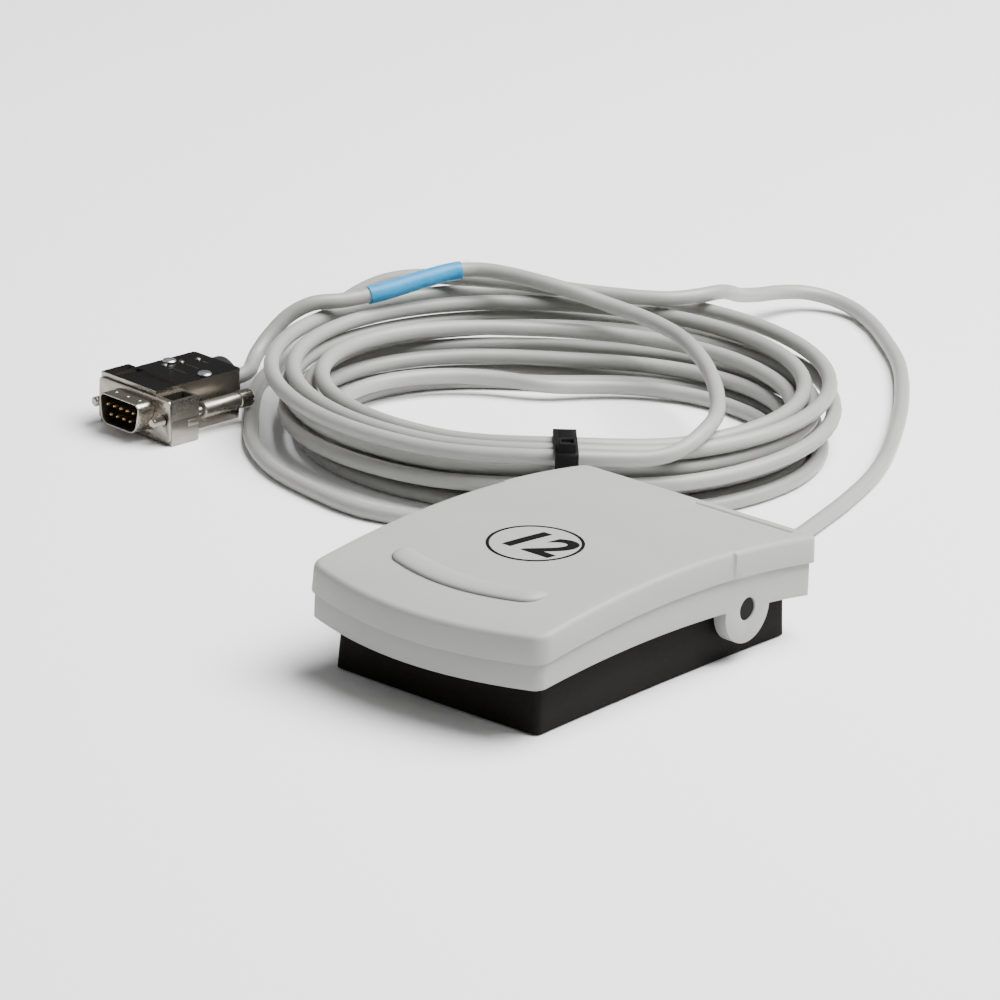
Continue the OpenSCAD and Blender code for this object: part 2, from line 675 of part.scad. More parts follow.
function wind(t) =
    let (a = start_turn + 360 * t,
         k = min(floor(t / layer_turns), layers - 1), m = t - k * layer_turns,
         into = k % 2 == 0 ? m : layer_turns - m,
         climbs = [for (j = [1 : layers - 1]) clamp01(2 * (t - j * layer_turns) + 0.5)],
         drifts = [for (j = [1 : layers - 1]) j % 2 == 0
             ? clamp01(2 * (t - j * layer_turns) + 0.5)
             : clamp01(t - j * layer_turns - 0.25)],
         ones = [for (j = [1 : layers - 1]) 1],
         f = far_share(a),
         r = coil_r - into * (turn_pitch + pitch_spread * f)
             - (layers - 1 - drifts * ones) * lag * f - draw_in * f
             + coil_wide * pow(cos(a - wide_turn), 2))
    [coil_x + r * cos(a), coil_y + r * sin(a),
     cable_d / 2 + climbs * ones * layer_h + tie_lift * near_tie(a)];

coil_end = layers * layer_turns;
coil_step = 1 / turn_rings;
coil_mid = [for (i = [0 : coil_end * turn_rings]) wind(i * coil_step)];
coil_in = coil_mid[0] - cable_d * unit(coil_mid[1] - coil_mid[0]);
coil_out = coil_mid[len(coil_mid) - 1]
    + cable_d * unit(coil_mid[len(coil_mid) - 1] - coil_mid[len(coil_mid) - 2]);
coil_path = concat([coil_in], coil_mid, [coil_out]);

// Least gap of the coil to itself, measured between its points
coil_gap = min([for (i = [0 : len(coil_mid) - turn_rings / 2 - 1])
    min([for (j = [i + turn_rings / 2 : len(coil_mid) - 1]) norm(coil_mid[i] - coil_mid[j])])])
    - cable_d;
echo(coil_least_gap = coil_gap);

plug_x = -199.6;
plug_y = 49.9;
plug_yaw = -5;
cable_x = -3.4;      // place of the cable's entry across the plug
grommet_l = 6;
grommet_y1 = hood_l + grommet_l;
plug_z = hood_h / 2;

// Routes of the free stretches, chosen by hand
lead_route = [[0, 90, 4.9], [-2, 99, 3.6], [-5, 110, 2.6], [-9, 126, 2.3],
    [-15, 149, 2.3], [-24, 175, 2.3], [-38, 202, 2.3], [-57, 232, 2.3], [-78, 259, 2.3],
    [-99, 278.4, 2.3], [-109.5, 286.5, 2.3], [-119.5, 291.5, 3], [-128.5, 291.5, 4.4],
    [-135, 286.5, 6], [-137.6, 277, 7.6], [-136.5, 266, 9.6], [-133, 254, 12.8],
    [-128.5, 243, 16.4], [-124.5, 234, 20], [-122, 225.5, 22.7], [-122.5, 216, 23.5],
    [-126.5, 208, 23.4], [-133, 202.5, 23.4], [-141, 198, 23.4], [-150.5, 193.5, 23.4],
    [-161.5, 189, 23.4], [-173, 183.5, 23.4], [-184, 177, 23.4], [-194.5, 169, 23.3],
    [-202, 160.5, 21.5], [-207, 151, 17], [-209.5, 140.5, 11], [-209.5, 129, 5.5],
    [-206, 116.5, 2.7], [-200, 104, 2.3], [-190.2, 90.8, 2.3], [-178.6, 77.5, 2.3],
    [-165, 63.5, 2.3], [-147, 52, 2.3], [-126, 46, 2.3], [-105, 44, 2.3], [-86, 52, 2.3],
    [-74.5, 63.5, 2.9], [-65.9, 74.8, 3.7], [-61.9, 79.4, 3.8], [-58.2, 83.9, 3.75]];
tail_route = [[-42.4, 108, 20.5], [-43.2, 117, 23], [-48.9, 129.9, 23.3],
    [-57.5, 142, 23.3], [-71.2, 157, 23.3], [-86.2, 170.2, 23.3], [-100.5, 180, 23.3],
    [-112.8, 185.1, 23.3], [-124.7, 187.5, 23.5], [-135.8, 186.7, 24.5],
    [-145, 183.6, 26.5], [-155, 180.3, 28], [-167.7, 177.9, 28.5], [-176, 174.6, 28.4],
    [-180.8, 168.5, 28], [-184, 158, 26.9], [-188.5, 145, 24.9], [-193.5, 134.5, 23.6],
    [-199.3, 127, 22.9], [-204, 121.5, 19.2], [-206.2, 115.5, 13.8],
    [-205.6, 109.5, 9.8], [-202.5, 103.8, 8.1], [-199.9, 99.5, 7.7]];
lead_rings = 66;
tail_rings = 40;

lead_start = [0, gland_y1, cable_z];
lead_path = concat([lead_start], smooth(concat([lead_start + [0, cable_d, 0]], lead_route,
    [coil_in - cable_d * unit(coil_mid[1] - coil_mid[0])]), lead_rings), [coil_in]);
tail_path = concat([coil_out],
    smooth(concat([2 * coil_out - coil_mid[len(coil_mid) - 1]], tail_route,
        [plug_point([cable_x, grommet_y1 + cable_d, plug_z])]), tail_rings),
    [plug_point([cable_x, grommet_y1, plug_z])]);

module cable_lead() color(cream) tube(lead_path, cable_d / 2, 8);
module cable_coil() color(cream) tube(coil_path, cable_d / 2, 6, turn = 0);
module cable_tail() color(cream) tube(tail_path, cable_d / 2, 8);

bundle_in = 2.05 * turn_pitch + cable_d / 2;
lead_out = 3.4;      // how far outside the coil the lead passes through the tie
tie_r1 = coil_r + lead_out + cable_d / 2 + 2 * fit_gap;
tie_r0 = coil_r - bundle_in - 6 * fit_gap;
tie_z1 = (layers - 1) * layer_h + cable_d + tie_lift + 4 * fit_gap;
tie_head = [5, 4.6, 3];

module cable_tie() color(black) translate([coil_x, coil_y, 0]) rotate([0, 0, tie_turn]) {
    difference() {
        block(tie_r0 - strap_t, tie_r1 + strap_t, -strap_w / 2, strap_w / 2,
            fit_gap, tie_z1 + strap_t);
        block(tie_r0, tie_r1, -strap_w, strap_w, fit_gap + strap_t, tie_z1);
    }
    translate([tie_r0 + tie_head[0] / 2, 0, tie_z1 + strap_t / 2 + tie_head[2] / 2])
        cube(tie_head, center = true);
}

// The label and its clear sleeve follow the tail ring by ring
label_ring = 25.3;   // place of the label's start, counted in rings of the tail
label_step = 7.3;    // spacing of the tail's rings there
label_rings = label_l / label_step;
label_r0 = cable_d / 2 + 2 * fit_gap;
label_t = 0.35;
sleeve_t = 0.4;
sleeve_over = 0.35;  // share of a ring's step that the sleeve runs past the label

function tail_at(u) = let (i = floor(u), s = u - i)
    s == 0 ? tail_path[i] : tail_path[i] * (1 - s) + tail_path[i + 1] * s;
function tail_stretch(u0, u1) =
    concat([tail_at(u0)], [for (i = [floor(u0) + 1 : ceil(u1) - 1]) tail_path[i]], [tail_at(u1)]);

module cable_wrap(u0, u1, r0, r1) {
    path = tail_stretch(u0, u1);
    m = len(path);
    t0 = heading(path, 0);
    t1 = heading(path, m - 1);
    inner = concat([path[0] - cut * t0], [for (i = [1 : m - 2]) path[i]], [path[m - 1] + cut * t1]);
    difference() {
        tube(path, r1, 12);
        tube(inner, r0, 12);
    }
}

module marker_label() color([0.1, 0.55, 0.8])
    cable_wrap(label_ring, label_ring + label_rings, label_r0, label_r0 + label_t);
module label_sleeve() color([0.85, 0.85, 0.85, 0.4])
    cable_wrap(label_ring - sleeve_over, label_ring + label_rings + sleeve_over,
        label_r0 + label_t + fit_gap, label_r0 + label_t + fit_gap + sleeve_t);

// Plug
// Its own frame has X across the flange, Y back along the hood and Z up.

flange_t = 0.8;
shell_deep = 6;
shell_w = 17.9;
shell_h = 9.4;
shell_t = 0.5;
shell_lean = 10;     // slant of the shell's short sides
shell_r = 2.6;
hood_x0 = -12.2;     // the hood's body sits a little to one side of the flange
hood_x1 = 8.2;
shoulder_l = 11.4;
hood_front = flange_t + fit_gap;
grommet_r = 4.6;
collar_r = 7.4;      // round collar behind the hood
collar_l = 4;
thread_r = 1.42;
thread_l = 4.3;
shank_r = 1.15;
screw_hole_r = 1.6;
ear_h = 13.6;
ear_low = 0.2;
hood_screw_r = 1.3;
hood_head_r = 2.1;
hood_screw_y = 22;
hood_screw_xs = [hood_x0 + 2.7, hood_x1 - 2.3];
neck_l = 3.2;

function plug_point(p) = [
    plug_x + p[0] * cos(plug_yaw) - p[1] * sin(plug_yaw),
    plug_y + p[0] * sin(plug_yaw) + p[1] * cos(plug_yaw), p[2]];
module at_plug() translate([plug_x, plug_y, 0]) rotate([0, 0, plug_yaw]) children();

// Outline of the shell, seen from the front, drawn in by a margin
module d_outline(margin) {
    r = shell_r - margin;
    y = shell_h / 2 - shell_r;
    for_top = shell_w / 2 - shell_r;
    for_foot = for_top - 2 * y * tan(shell_lean);
    hull() for (s = [-1, 1]) {
        translate([s * for_top, y]) circle(r = r, $fn = 32);
        translate([s * for_foot, -y]) circle(r = r, $fn = 32);
    }
}
module d_prism(margin, y0, y1) translate([0, y1, plug_z]) rotate([90, 0, 0])
    linear_extrude(y1 - y0) d_outline(margin);

module dsub_shell() color(nickel) at_plug() difference() {
    union() {
        block(-flange_w / 2, flange_w / 2, 0, flange_t, plug_z - flange_h / 2,
            plug_z + flange_h / 2);
        d_prism(0, -shell_deep, flange_t / 2);
    }
    d_prism(shell_t, -shell_deep - cut, flange_t + cut);
    for (s = [-1, 1]) translate([s * screw_span / 2, 0, plug_z])
        rod_y(screw_hole_r, -cut, flange_t + cut);
}

pin_pitch = 2.77;
pin_row = 1.42;
pin_r = 0.5;
insert_front = -0.6;
insert_back = 8;
pin_places = concat([for (i = [-2 : 2]) [i * pin_pitch, pin_row]],
    [for (i = [-1.5 : 1.5]) [i * pin_pitch, -pin_row]]);

module dsub_insert() color(black) at_plug() difference() {
    d_prism(shell_t + fit_gap, insert_front, insert_back);
    for (p = pin_places) translate([p[0], 0, plug_z + p[1]])
        rod_y(pin_r + press_gap, insert_front - cut, insert_back + cut, $fn = 24);
}

module dsub_pins() color(brass) at_plug() for (p = pin_places)
    translate([p[0], 0, plug_z + p[1]]) {
        rod_y(pin_r, -shell_deep + 2 * pin_r, insert_back + 6 * pin_r, $fn = 24);
        translate([0, -shell_deep + 2 * pin_r, 0]) rotate([90, 0, 0])
            cylinder(r1 = pin_r, r2 = pin_r / 2, h = pin_r, $fn = 24);
    }

// Outer body of the hood, between two heights
module hood_block(z0, z1, inset = 0) {
    block(hood_x0 + inset, hood_x1 - inset, hood_front + inset, hood_l - inset,
        z0 + inset, z1 - inset);
}
mid = plug_z;
pocket_h = barrel_d + 1;
hood_screw_l = hood_h - mid - pocket_h / 2;

// Box beside the hood's body that carries a thumbscrew
module screw_box(x0, x1, z0, z1) {
    block(x0, x1, hood_front, shoulder_l, z0, z1);
}

module hood_cuts() {
    for (s = [-1, 1]) translate([s * screw_span / 2, 0, plug_z])
        rod_y(screw_hole_r, -cut, shoulder_l + cut);
    translate([cable_x, 0, plug_z]) rod_y(grommet_r - hood_wall + fit_gap,
        hood_l - hood_wall - cut, hood_l + cut);
    block(hood_x0 - cut, -screw_span / 2 + barrel_d / 2 + fit_gap * 4, shoulder_l,
        hood_l + cut, plug_z - pocket_h / 2, plug_z + pocket_h / 2);
    block(-flange_w / 2 + hood_wall, flange_w / 2 - hood_wall, hood_front - cut,
        shoulder_l - hood_wall, plug_z - flange_h / 2 + hood_wall,
        plug_z + flange_h / 2 - hood_wall);
}

module hood_upper() color(nickel) at_plug() difference() {
    union() {
        block(hood_x0, hood_x1, hood_front, hood_l, mid, hood_h);
        screw_box(-flange_w / 2 - fit_gap, hood_x0 + hood_wall, mid, hood_h);
        screw_box(hood_x1 - hood_wall, flange_w / 2, mid, ear_h);
    }
    block(hood_x0 + hood_wall * 3, hood_x1 - hood_wall, hood_front - cut,
        hood_l - hood_wall, mid - cut, hood_h - hood_wall);
    hood_cuts();
    block(hood_x1 + hood_wall, flange_w / 2 - hood_wall, hood_front + hood_wall,
        shoulder_l - hood_wall, mid - cut, ear_h + cut);
    block(hood_x0 + hood_wall, hood_x1 - hood_wall, hood_front + hood_wall,
        shoulder_l - hood_wall, hood_h - hood_wall / 3, hood_h + cut);
    for (x = hood_screw_xs) translate([x, hood_screw_y, hood_h - hood_screw_l])
        cylinder(r = hood_screw_r + fit_gap, h = hood_screw_l + cut);
}

module hood_lower() color(nickel) at_plug() difference() {
    union() {
        block(hood_x0, hood_x1, hood_front, hood_l, 0, mid - fit_gap);
        screw_box(-flange_w / 2 - fit_gap, hood_x0 + hood_wall, 0, mid - fit_gap);
        screw_box(hood_x1 - hood_wall, flange_w / 2, ear_low, mid - fit_gap);
    }
    block(hood_x0 + hood_wall * 3, hood_x1 - hood_wall, hood_front - cut,
        hood_l - hood_wall, hood_wall, mid + cut);
    hood_cuts();
}

module hood_screws() color(steel) at_plug() for (x = hood_screw_xs)
    translate([x, hood_screw_y, hood_h]) {
        translate([0, 0, fit_gap - hood_screw_l])
            cylinder(r = hood_screw_r, h = hood_screw_l);
        difference() {
            cylinder(r = hood_head_r, h = head_h / 2);
            for (a = [0, 90]) rotate([0, 0, a])
                block(-hood_head_r * 0.7, hood_head_r * 0.7, -head_h / 4, head_h / 4,
                    head_h / 4, head_h);
        }
    }

module plug_grommet() color(rubber) at_plug() translate([cable_x, 0, plug_z]) {
    rod_y(grommet_r - hood_wall, hood_l - hood_wall, hood_l + hood_wall);
    rod_y(collar_r, hood_l + fit_gap, hood_l + collar_l);
    translate([0, hood_l + collar_l / 2, 0]) rotate([-90, 0, 0])
        cylinder(r1 = grommet_r, r2 = cable_d / 2 + 6 * fit_gap, h = grommet_l - collar_l / 2);
}

// Thumbscrew: threaded tip, shank and a barrel with a knurled end
knurls = 12;
knurl_share = 0.7;   // share of the barrel's length in front of the knurled end
module thumbscrew(s) color(nickel) at_plug() translate([s * screw_span / 2, 0, plug_z]) {
    neck_y = shoulder_l + neck_l;
    rod_y(thread_r, -thread_l - flange_t / 4, -flange_t / 4);
    rod_y(shank_r, -thread_l, neck_y + cut);
    difference() {
        union() {
            rod_y(barrel_d / 2, neck_y, neck_y + barrel_l);
            rod_y(barrel_d / 2 + 2 * fit_gap, neck_y + barrel_l * knurl_share,
                neck_y + barrel_l);
        }
        for (k = [0.5 : knurls]) rotate([0, 360 * k / knurls, 0])
            block(barrel_d / 2 - fit_gap, barrel_d, neck_y + barrel_l * knurl_share + slot_w,
                neck_y + barrel_l + cut, -2 * fit_gap, 2 * fit_gap);
        block(-barrel_d, barrel_d, neck_y + barrel_l - head_h / 2, neck_y + barrel_l + cut,
            -head_h / 4, head_h / 4);
    }
}
module thumbscrew_right() thumbscrew(1);
module thumbscrew_left() thumbscrew(-1);

base_housing();
rubber_feet();
stop_pads();
pivot_shaft();
pivot_caps();
switch_bracket();
bracket_screws();
microswitch_case();
microswitch_plunger();
microswitch_terminals();
microswitch_screws();
lead_wires();
inner_lead();
clamp_bar();
clamp_screws();
cable_gland();
return_spring();
pedal_frame();
actuator_screw();
actuator_nut();
top_cover();
cover_screws();
cable_lead();
cable_coil();
cable_tail();
cable_tie();
marker_label();
label_sleeve();
plug_grommet();
hood_upper();
hood_lower();
hood_screws();
dsub_shell();
dsub_insert();
dsub_pins();
thumbscrew_right();
thumbscrew_left();
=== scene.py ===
import json
import math

import bmesh
import bpy
from mathutils import Matrix, Vector


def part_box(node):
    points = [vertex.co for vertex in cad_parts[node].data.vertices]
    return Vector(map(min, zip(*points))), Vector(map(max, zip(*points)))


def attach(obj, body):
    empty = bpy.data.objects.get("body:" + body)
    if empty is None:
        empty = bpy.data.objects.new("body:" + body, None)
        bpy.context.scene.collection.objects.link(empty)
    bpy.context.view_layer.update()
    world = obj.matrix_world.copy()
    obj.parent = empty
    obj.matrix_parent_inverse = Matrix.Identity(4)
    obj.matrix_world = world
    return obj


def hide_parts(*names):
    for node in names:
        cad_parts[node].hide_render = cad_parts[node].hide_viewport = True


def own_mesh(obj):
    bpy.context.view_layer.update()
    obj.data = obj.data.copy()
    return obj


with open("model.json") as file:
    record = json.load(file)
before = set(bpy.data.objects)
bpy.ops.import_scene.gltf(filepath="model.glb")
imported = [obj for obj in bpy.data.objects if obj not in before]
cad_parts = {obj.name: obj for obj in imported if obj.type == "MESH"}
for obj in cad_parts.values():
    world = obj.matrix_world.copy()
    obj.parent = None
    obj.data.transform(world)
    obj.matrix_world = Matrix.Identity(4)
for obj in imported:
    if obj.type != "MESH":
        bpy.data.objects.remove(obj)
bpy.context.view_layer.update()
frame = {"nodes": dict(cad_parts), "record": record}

SLOT_COLORS = {m["slot"]: m["base_color"] for m in frame["record"]["materials"]}

bl_info = {
    "name": "Foot Switch",
    "version": (1, 0, 0),
    "blender": (4, 5, 0),
    "location": "View3D > Sidebar > Foot Switch",
    "description": "Dresses a foot switch with its coiled lead and nine-pole plug",
    "category": "Object",
}

# Sizes of the solids, in millimetres and degrees, as the source of the part gives them
LID_W, LID_Y0, LID_Y1, LID_CY, LID_BOW = 79.8, -61.5, 61.5, -53.9, 7.6
COVER_H, LID_WALL, LIP_STEP, SHOULDER_Y = 7.6, 2.4, 1.0, 24.1
HINGE_Y, HINGE_Z, PRESS_ANGLE = 32.5, 14.8, 4
DECK_Z, SPRING_Y, ACTUATOR_Y = 23.0, -24.5, 10.5
BASE_W, BASE_Y0, BASE_Y1, BASE_WALL, BASE_FLOOR = 69.0, -48.9, 55.7, 2.6, 3.3
CABLE_R, CABLE_Z, GLAND_Y = 2.3, 6.8, 71.7
PLUG_X, PLUG_Y, PLUG_YAW, PLUG_Z = -199.6, 49.9, -5.0, 7.6
PLUG_CABLE_X, PLUG_END_Y, LOCK_X, HOOD_TOP = -3.4, 40.5, 12.5, 15.2
COIL_X, COIL_Y, COIL_R = -119.0, 144.0, 84.0
COIL_PITCH, COIL_RISE, LAYER_TURNS, TIE_BULGE = 5.5, 5.2, 2.5, 1.5
TIE_TURN, START_TURN = -48.6, -35.0

# Places of the details on the lid that only the scene has, in millimetres
PANEL_X, PANEL_Y = (1.6, 35.2), (45.6, 56.4)
PRINT_X, PRINT_Y = -0.4, -9.0
RIDGE_Y, RIDGE_BOW, RIDGE_R, RIDGE_SUNK = -40.6, 4, 4.4, 0.3


def mm(*values):
    return Vector([v / 1000 for v in values])


def arch(y, front_z, rear_z, rise):
    s = (y - LID_CY) / (LID_Y1 - LID_CY)
    return front_z + (rear_z - front_z) * s + 4 * rise * s * (1 - s)


def top_at(y):
    return arch(y, front_z=29.9, rear_z=28.5, rise=4.6)


def skirt_at(y):
    return arch(y, front_z=15.0, rear_z=11.3, rise=3.9)


def rim_at(y):
    """Height of the base's rim, which stays under the deck when the lid is down."""
    slope = math.tan(math.radians(PRESS_ANGLE))
    return min(DECK_Z - 1.8, DECK_Z - 0.9 - max(HINGE_Y - y, 0) * slope - 0.7)


# Helpers that pick, shape and finish, with their lengths in millimetres

def deselect():
    if bpy.context.object and bpy.context.object.mode != "OBJECT":
        bpy.ops.object.mode_set(mode="OBJECT")
    bpy.ops.object.select_all(action="DESELECT")


def take(obj):
    """Makes one object the only selected one and the active one."""
    deselect()
    obj.select_set(True)
    bpy.context.view_layer.objects.active = obj
    return obj


def settle(obj):
    """Puts the object's place into its mesh."""
    take(obj)
    bpy.ops.object.transform_apply(location=True, rotation=True, scale=True)
    return obj


def add_box(name, low, high):
    deselect()
    low, high = mm(*low), mm(*high)
    bpy.ops.mesh.primitive_cube_add(size=1, location=(low + high) / 2)
    obj = bpy.context.object
    obj.name = name
    obj.scale = high - low
    return settle(obj)


def add_rod(name, start, axis, length, radius, sides=48):
    """Cylinder that starts at a point and runs along an axis."""
    deselect()
    turn = Vector((0, 0, 1)).rotation_difference(Vector(axis)).to_euler()
    middle = mm(*start) + Vector(axis).normalized() * length / 2000
    bpy.ops.mesh.primitive_cylinder_add(vertices=sides, radius=radius / 1000,
        depth=length / 1000, location=middle, rotation=turn)
    obj = bpy.context.object
    obj.name = name
    return settle(obj)


def copies(obj, *moves):
    """Copies of a piece, each with its own mesh and moved from where the piece is."""
    made = []
    for move in moves:
        take(obj)
        bpy.ops.object.duplicate(linked=False)
        bpy.context.object.location = mm(*move)
        made.append(settle(bpy.context.object))
    return made


def made_mesh(obj):
    take(obj)
    bpy.ops.object.convert(target="MESH")
    return bpy.context.object


def edit(obj):
    take(obj)
    bpy.ops.object.mode_set(mode="EDIT")


def done():
    bpy.ops.object.mode_set(mode="OBJECT")


def pick_all():
    bpy.ops.mesh.select_all(action="SELECT")


def pick(kind, test):
    """Selects the vertices, edges or faces that pass a test, in edit mode."""
    bpy.ops.mesh.select_mode(type=kind)
    bpy.ops.mesh.select_all(action="DESELECT")
    obj = bpy.context.object
    shape = bmesh.from_edit_mesh(obj.data)
    items = {"VERT": shape.verts, "EDGE": shape.edges, "FACE": shape.faces}[kind]
    picked = [item for item in items if test(item)]
    if not picked:
        raise RuntimeError("nothing on " + obj.name + " passes the test")
    for item in picked:
        item.select_set(True)
    bmesh.update_edit_mesh(obj.data, loop_triangles=False)


def shift_rows(key, delta, test=lambda co: True):
    """Moves each row of vertices with the same key by what delta gives for it."""
    shape = bmesh.from_edit_mesh(bpy.context.object.data)
    rows = sorted({round(key(v.co) * 1000, 3) for v in shape.verts if test(v.co * 1000)})
    for row in rows:
        move = delta(row)
        if move.length > 1e-7:
            pick("VERT", lambda v: test(v.co * 1000) and round(key(v.co) * 1000, 3) == row)
            bpy.ops.transform.translate(value=move)


def bisect_at(axis, places):
    for place in places:
        point, normal = Vector((0, 0, 0)), Vector((0, 0, 0))
        point[axis], normal[axis] = place / 1000, 1
        pick_all()
        bpy.ops.mesh.bisect(plane_co=point, plane_no=normal)


def is_upright(edge):
    a, b = edge.verts[0].co, edge.verts[1].co
    return abs(a.z - b.z) > 0.001 and (a - b).xy.length < 0.002


def spans(axis, least):
    """Test for edges that reach further than a length along an axis."""
    return lambda e: abs(e.verts[0].co[axis] - e.verts[1].co[axis]) * 1000 > least


def round_off(test, radius, segments):
    """Rounds the edges that pass a test."""
    pick("EDGE", test)
    bpy.ops.mesh.bevel(offset=radius / 1000, segments=segments, affect="EDGES")


def drop_faces(test):
    pick("FACE", test)
    bpy.ops.mesh.delete(type="FACE")


def inset_by(thickness, depth=0.0, **settings):
    bpy.ops.mesh.inset(thickness=thickness / 1000, depth=depth / 1000, **settings)


def extrude_by(x, y, z):
    bpy.ops.mesh.extrude_region_move(TRANSFORM_OT_translate={"value": mm(x, y, z)})


def faces_out():
    pick_all()
    bpy.ops.mesh.remove_doubles(threshold=0.00001)
    bpy.ops.mesh.normals_make_consistent(inside=False)


def apply_modifier(obj, kind, **settings):
    take(obj)
    modifier = obj.modifiers.new("shape", kind)
    for name, value in settings.items():
        setattr(modifier, name, value)
    bpy.ops.object.modifier_apply(modifier=modifier.name)


def wall_in(obj, thickness):
    """Gives an open shell a wall on its inner side."""
    apply_modifier(obj, "SOLIDIFY", thickness=thickness / 1000, offset=-1,
        use_even_offset=True, use_rim=True)


def fuse(obj, other, operation="UNION"):
    apply_modifier(obj, "BOOLEAN", operation=operation, object=other, solver="EXACT")
    take(other)
    bpy.ops.object.delete()


def cut(obj, *tools):
    for tool in tools:
        fuse(obj, tool, "DIFFERENCE")
    return obj


def join(obj, *others):
    deselect()
    for other in others:
        other.select_set(True)
    obj.select_set(True)
    bpy.context.view_layer.objects.active = obj
    bpy.ops.object.join()


def soften(obj, width=0.2, segments=2, angle=50):
    """Rounds the sharp edges a little, as a mould or a press leaves them."""
    apply_modifier(obj, "BEVEL", width=width / 1000, segments=segments,
        limit_method="ANGLE", angle_limit=math.radians(angle), harden_normals=False)


def turned(name, profile, origin, axis, steps=32):
    """Lathe-turned piece: a profile of (radius, place along the axis) is spun round."""
    deselect()
    along = Vector(axis).normalized()
    across = Vector((0, 0, 1)) if abs(along.z) < 0.5 else Vector((1, 0, 0))
    points = [mm(*origin) + across * r / 1000 + along * a / 1000 for r, a in profile]
    bpy.ops.mesh.primitive_plane_add(size=0.001, location=points[0])
    obj = bpy.context.object
    obj.name = name
    settle(obj)
    edit(obj)
    bpy.ops.mesh.select_mode(type="VERT")
    pick_all()
    bpy.ops.mesh.merge(type="CENTER")
    for a, b in zip(points, points[1:]):
        bpy.ops.mesh.extrude_vertices_move(TRANSFORM_OT_translate={"value": b - a})
    pick_all()
    bpy.ops.mesh.spin(steps=steps, angle=math.tau, center=mm(*origin), axis=along)
    faces_out()
    done()
    return obj


def finish_piece(obj, body, slot, node=None, finish=None, angle=35):
    """Smooths a piece, gives it its material, hangs it on its body and hides the node it stands
    for.
    """
    settle(obj)
    bpy.ops.object.shade_smooth_by_angle(angle=math.radians(angle))
    if not obj.data.materials:
        obj.data.materials.append(FINISHES[finish or slot])
    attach(obj, body)
    if node:
        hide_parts(node)


# Materials

class Wire:
    """Wraps a shader socket, so that sums on it add Math nodes."""

    def __init__(self, book, socket):
        self.book, self.socket = book, socket

    def math(self, operation, a, b):
        return self.book.node("ShaderNodeMath", {"operation": operation}, {0: a, 1: b})

    def __add__(self, other):
        return self.math("ADD", self, other)

    __radd__ = __add__

    def __sub__(self, other):
        return self.math("SUBTRACT", self, other)

    def __rsub__(self, other):
        return self.math("SUBTRACT", other, self)

    def __mul__(self, other):
        return self.math("MULTIPLY", self, other)

    __rmul__ = __mul__


class Finish:
    """Node book of one material."""

    def __init__(self, name):
        self.material = bpy.data.materials.new(name)
        self.material.use_nodes = True
        self.tree = self.material.node_tree
        self.tree.nodes.clear()
        output = self.tree.nodes.new("ShaderNodeOutputMaterial")
        self.surface = self.tree.nodes.new("ShaderNodeBsdfPrincipled")
        self.tree.links.new(self.surface.outputs[0], output.inputs[0])
        self.place = self.node("ShaderNodeTexCoord", out="Object")

    def node(self, kind, settings=None, inputs=None, out=0):
        node = self.tree.nodes.new(kind)
        for name, value in (settings or {}).items():
            setattr(node, name, value)
        for key, value in (inputs or {}).items():
            self.feed(node.inputs[key], value)
        return Wire(self, node.outputs[out])

    def feed(self, socket, value):
        if isinstance(value, Wire):
            self.tree.links.new(value.socket, socket)
        else:
            socket.default_value = value

    def look(self, **sockets):
        """Feeds the shader's sockets, named in lower case with underscores."""
        for name, value in sockets.items():
            socket = name.replace("_", " ").title().replace("Ior", "IOR")
            self.feed(self.surface.inputs[socket], value)

    def noise(self, scale, detail=4.0, rough=0.55, at=None):
        return self.node("ShaderNodeTexNoise", {},
            {"Vector": at or self.place, "Scale": scale, "Detail": detail, "Roughness": rough})

    def stretched(self, x, y, z, turn=0.0):
        return self.node("ShaderNodeMapping", {},
            {"Vector": self.place, "Scale": (x, y, z), "Rotation": (0, 0, turn)})

    def spread(self, value, low, high, out_low=0.0, out_high=1.0):
        """Stretches a value between two limits and keeps it there."""
        return self.node("ShaderNodeMapRange", {"clamp": True},
            {"Value": value, "From Min": low, "From Max": high,
             "To Min": out_low, "To Max": out_high})

    def mix(self, factor, a, b):
        return self.node("ShaderNodeMix", {"data_type": "RGBA"},
            {0: factor, 6: a, 7: b}, out=2)

    def mottled(self, cloud, low, high):
        """Goes from one tone to another over a cloud's middle range."""
        return self.mix(self.spread(cloud, 0.35, 0.7), low, high)

    def bump(self, height, strength, distance):
        return self.node("ShaderNodeBump", {},
            {"Height": height, "Strength": strength, "Distance": distance / 1000})


def rgba(color, k=1.0):
    return (color[0] * k, color[1] * k, color[2] * k, 1.0)


def moulded(name, color, rough, grain, depth, dust, specular):
    """Moulded plastic with a fine spark-eroded grain, faint flow marks and dust."""
    book = Finish(name)
    fine = book.noise(grain, 2.0, 0.6)
    cloud = book.noise(38.0, 3.0)
    flow = book.noise(9.0, 4.0, 0.6, book.stretched(1, 0.35, 1))
    tone = book.mottled(cloud, rgba(color, 1 - dust), rgba(color, 1 + dust))
    tone = book.mix(book.spread(flow, 0.5, 0.75, 0, 0.5), tone, rgba(color, 1 - dust * 1.6))
    book.look(base_color=tone,
        roughness=book.spread(fine, 0.3, 0.7, rough - 0.06, rough + 0.07),
        normal=book.bump(fine, 0.55, depth), specular_ior_level=specular)
    return book.material


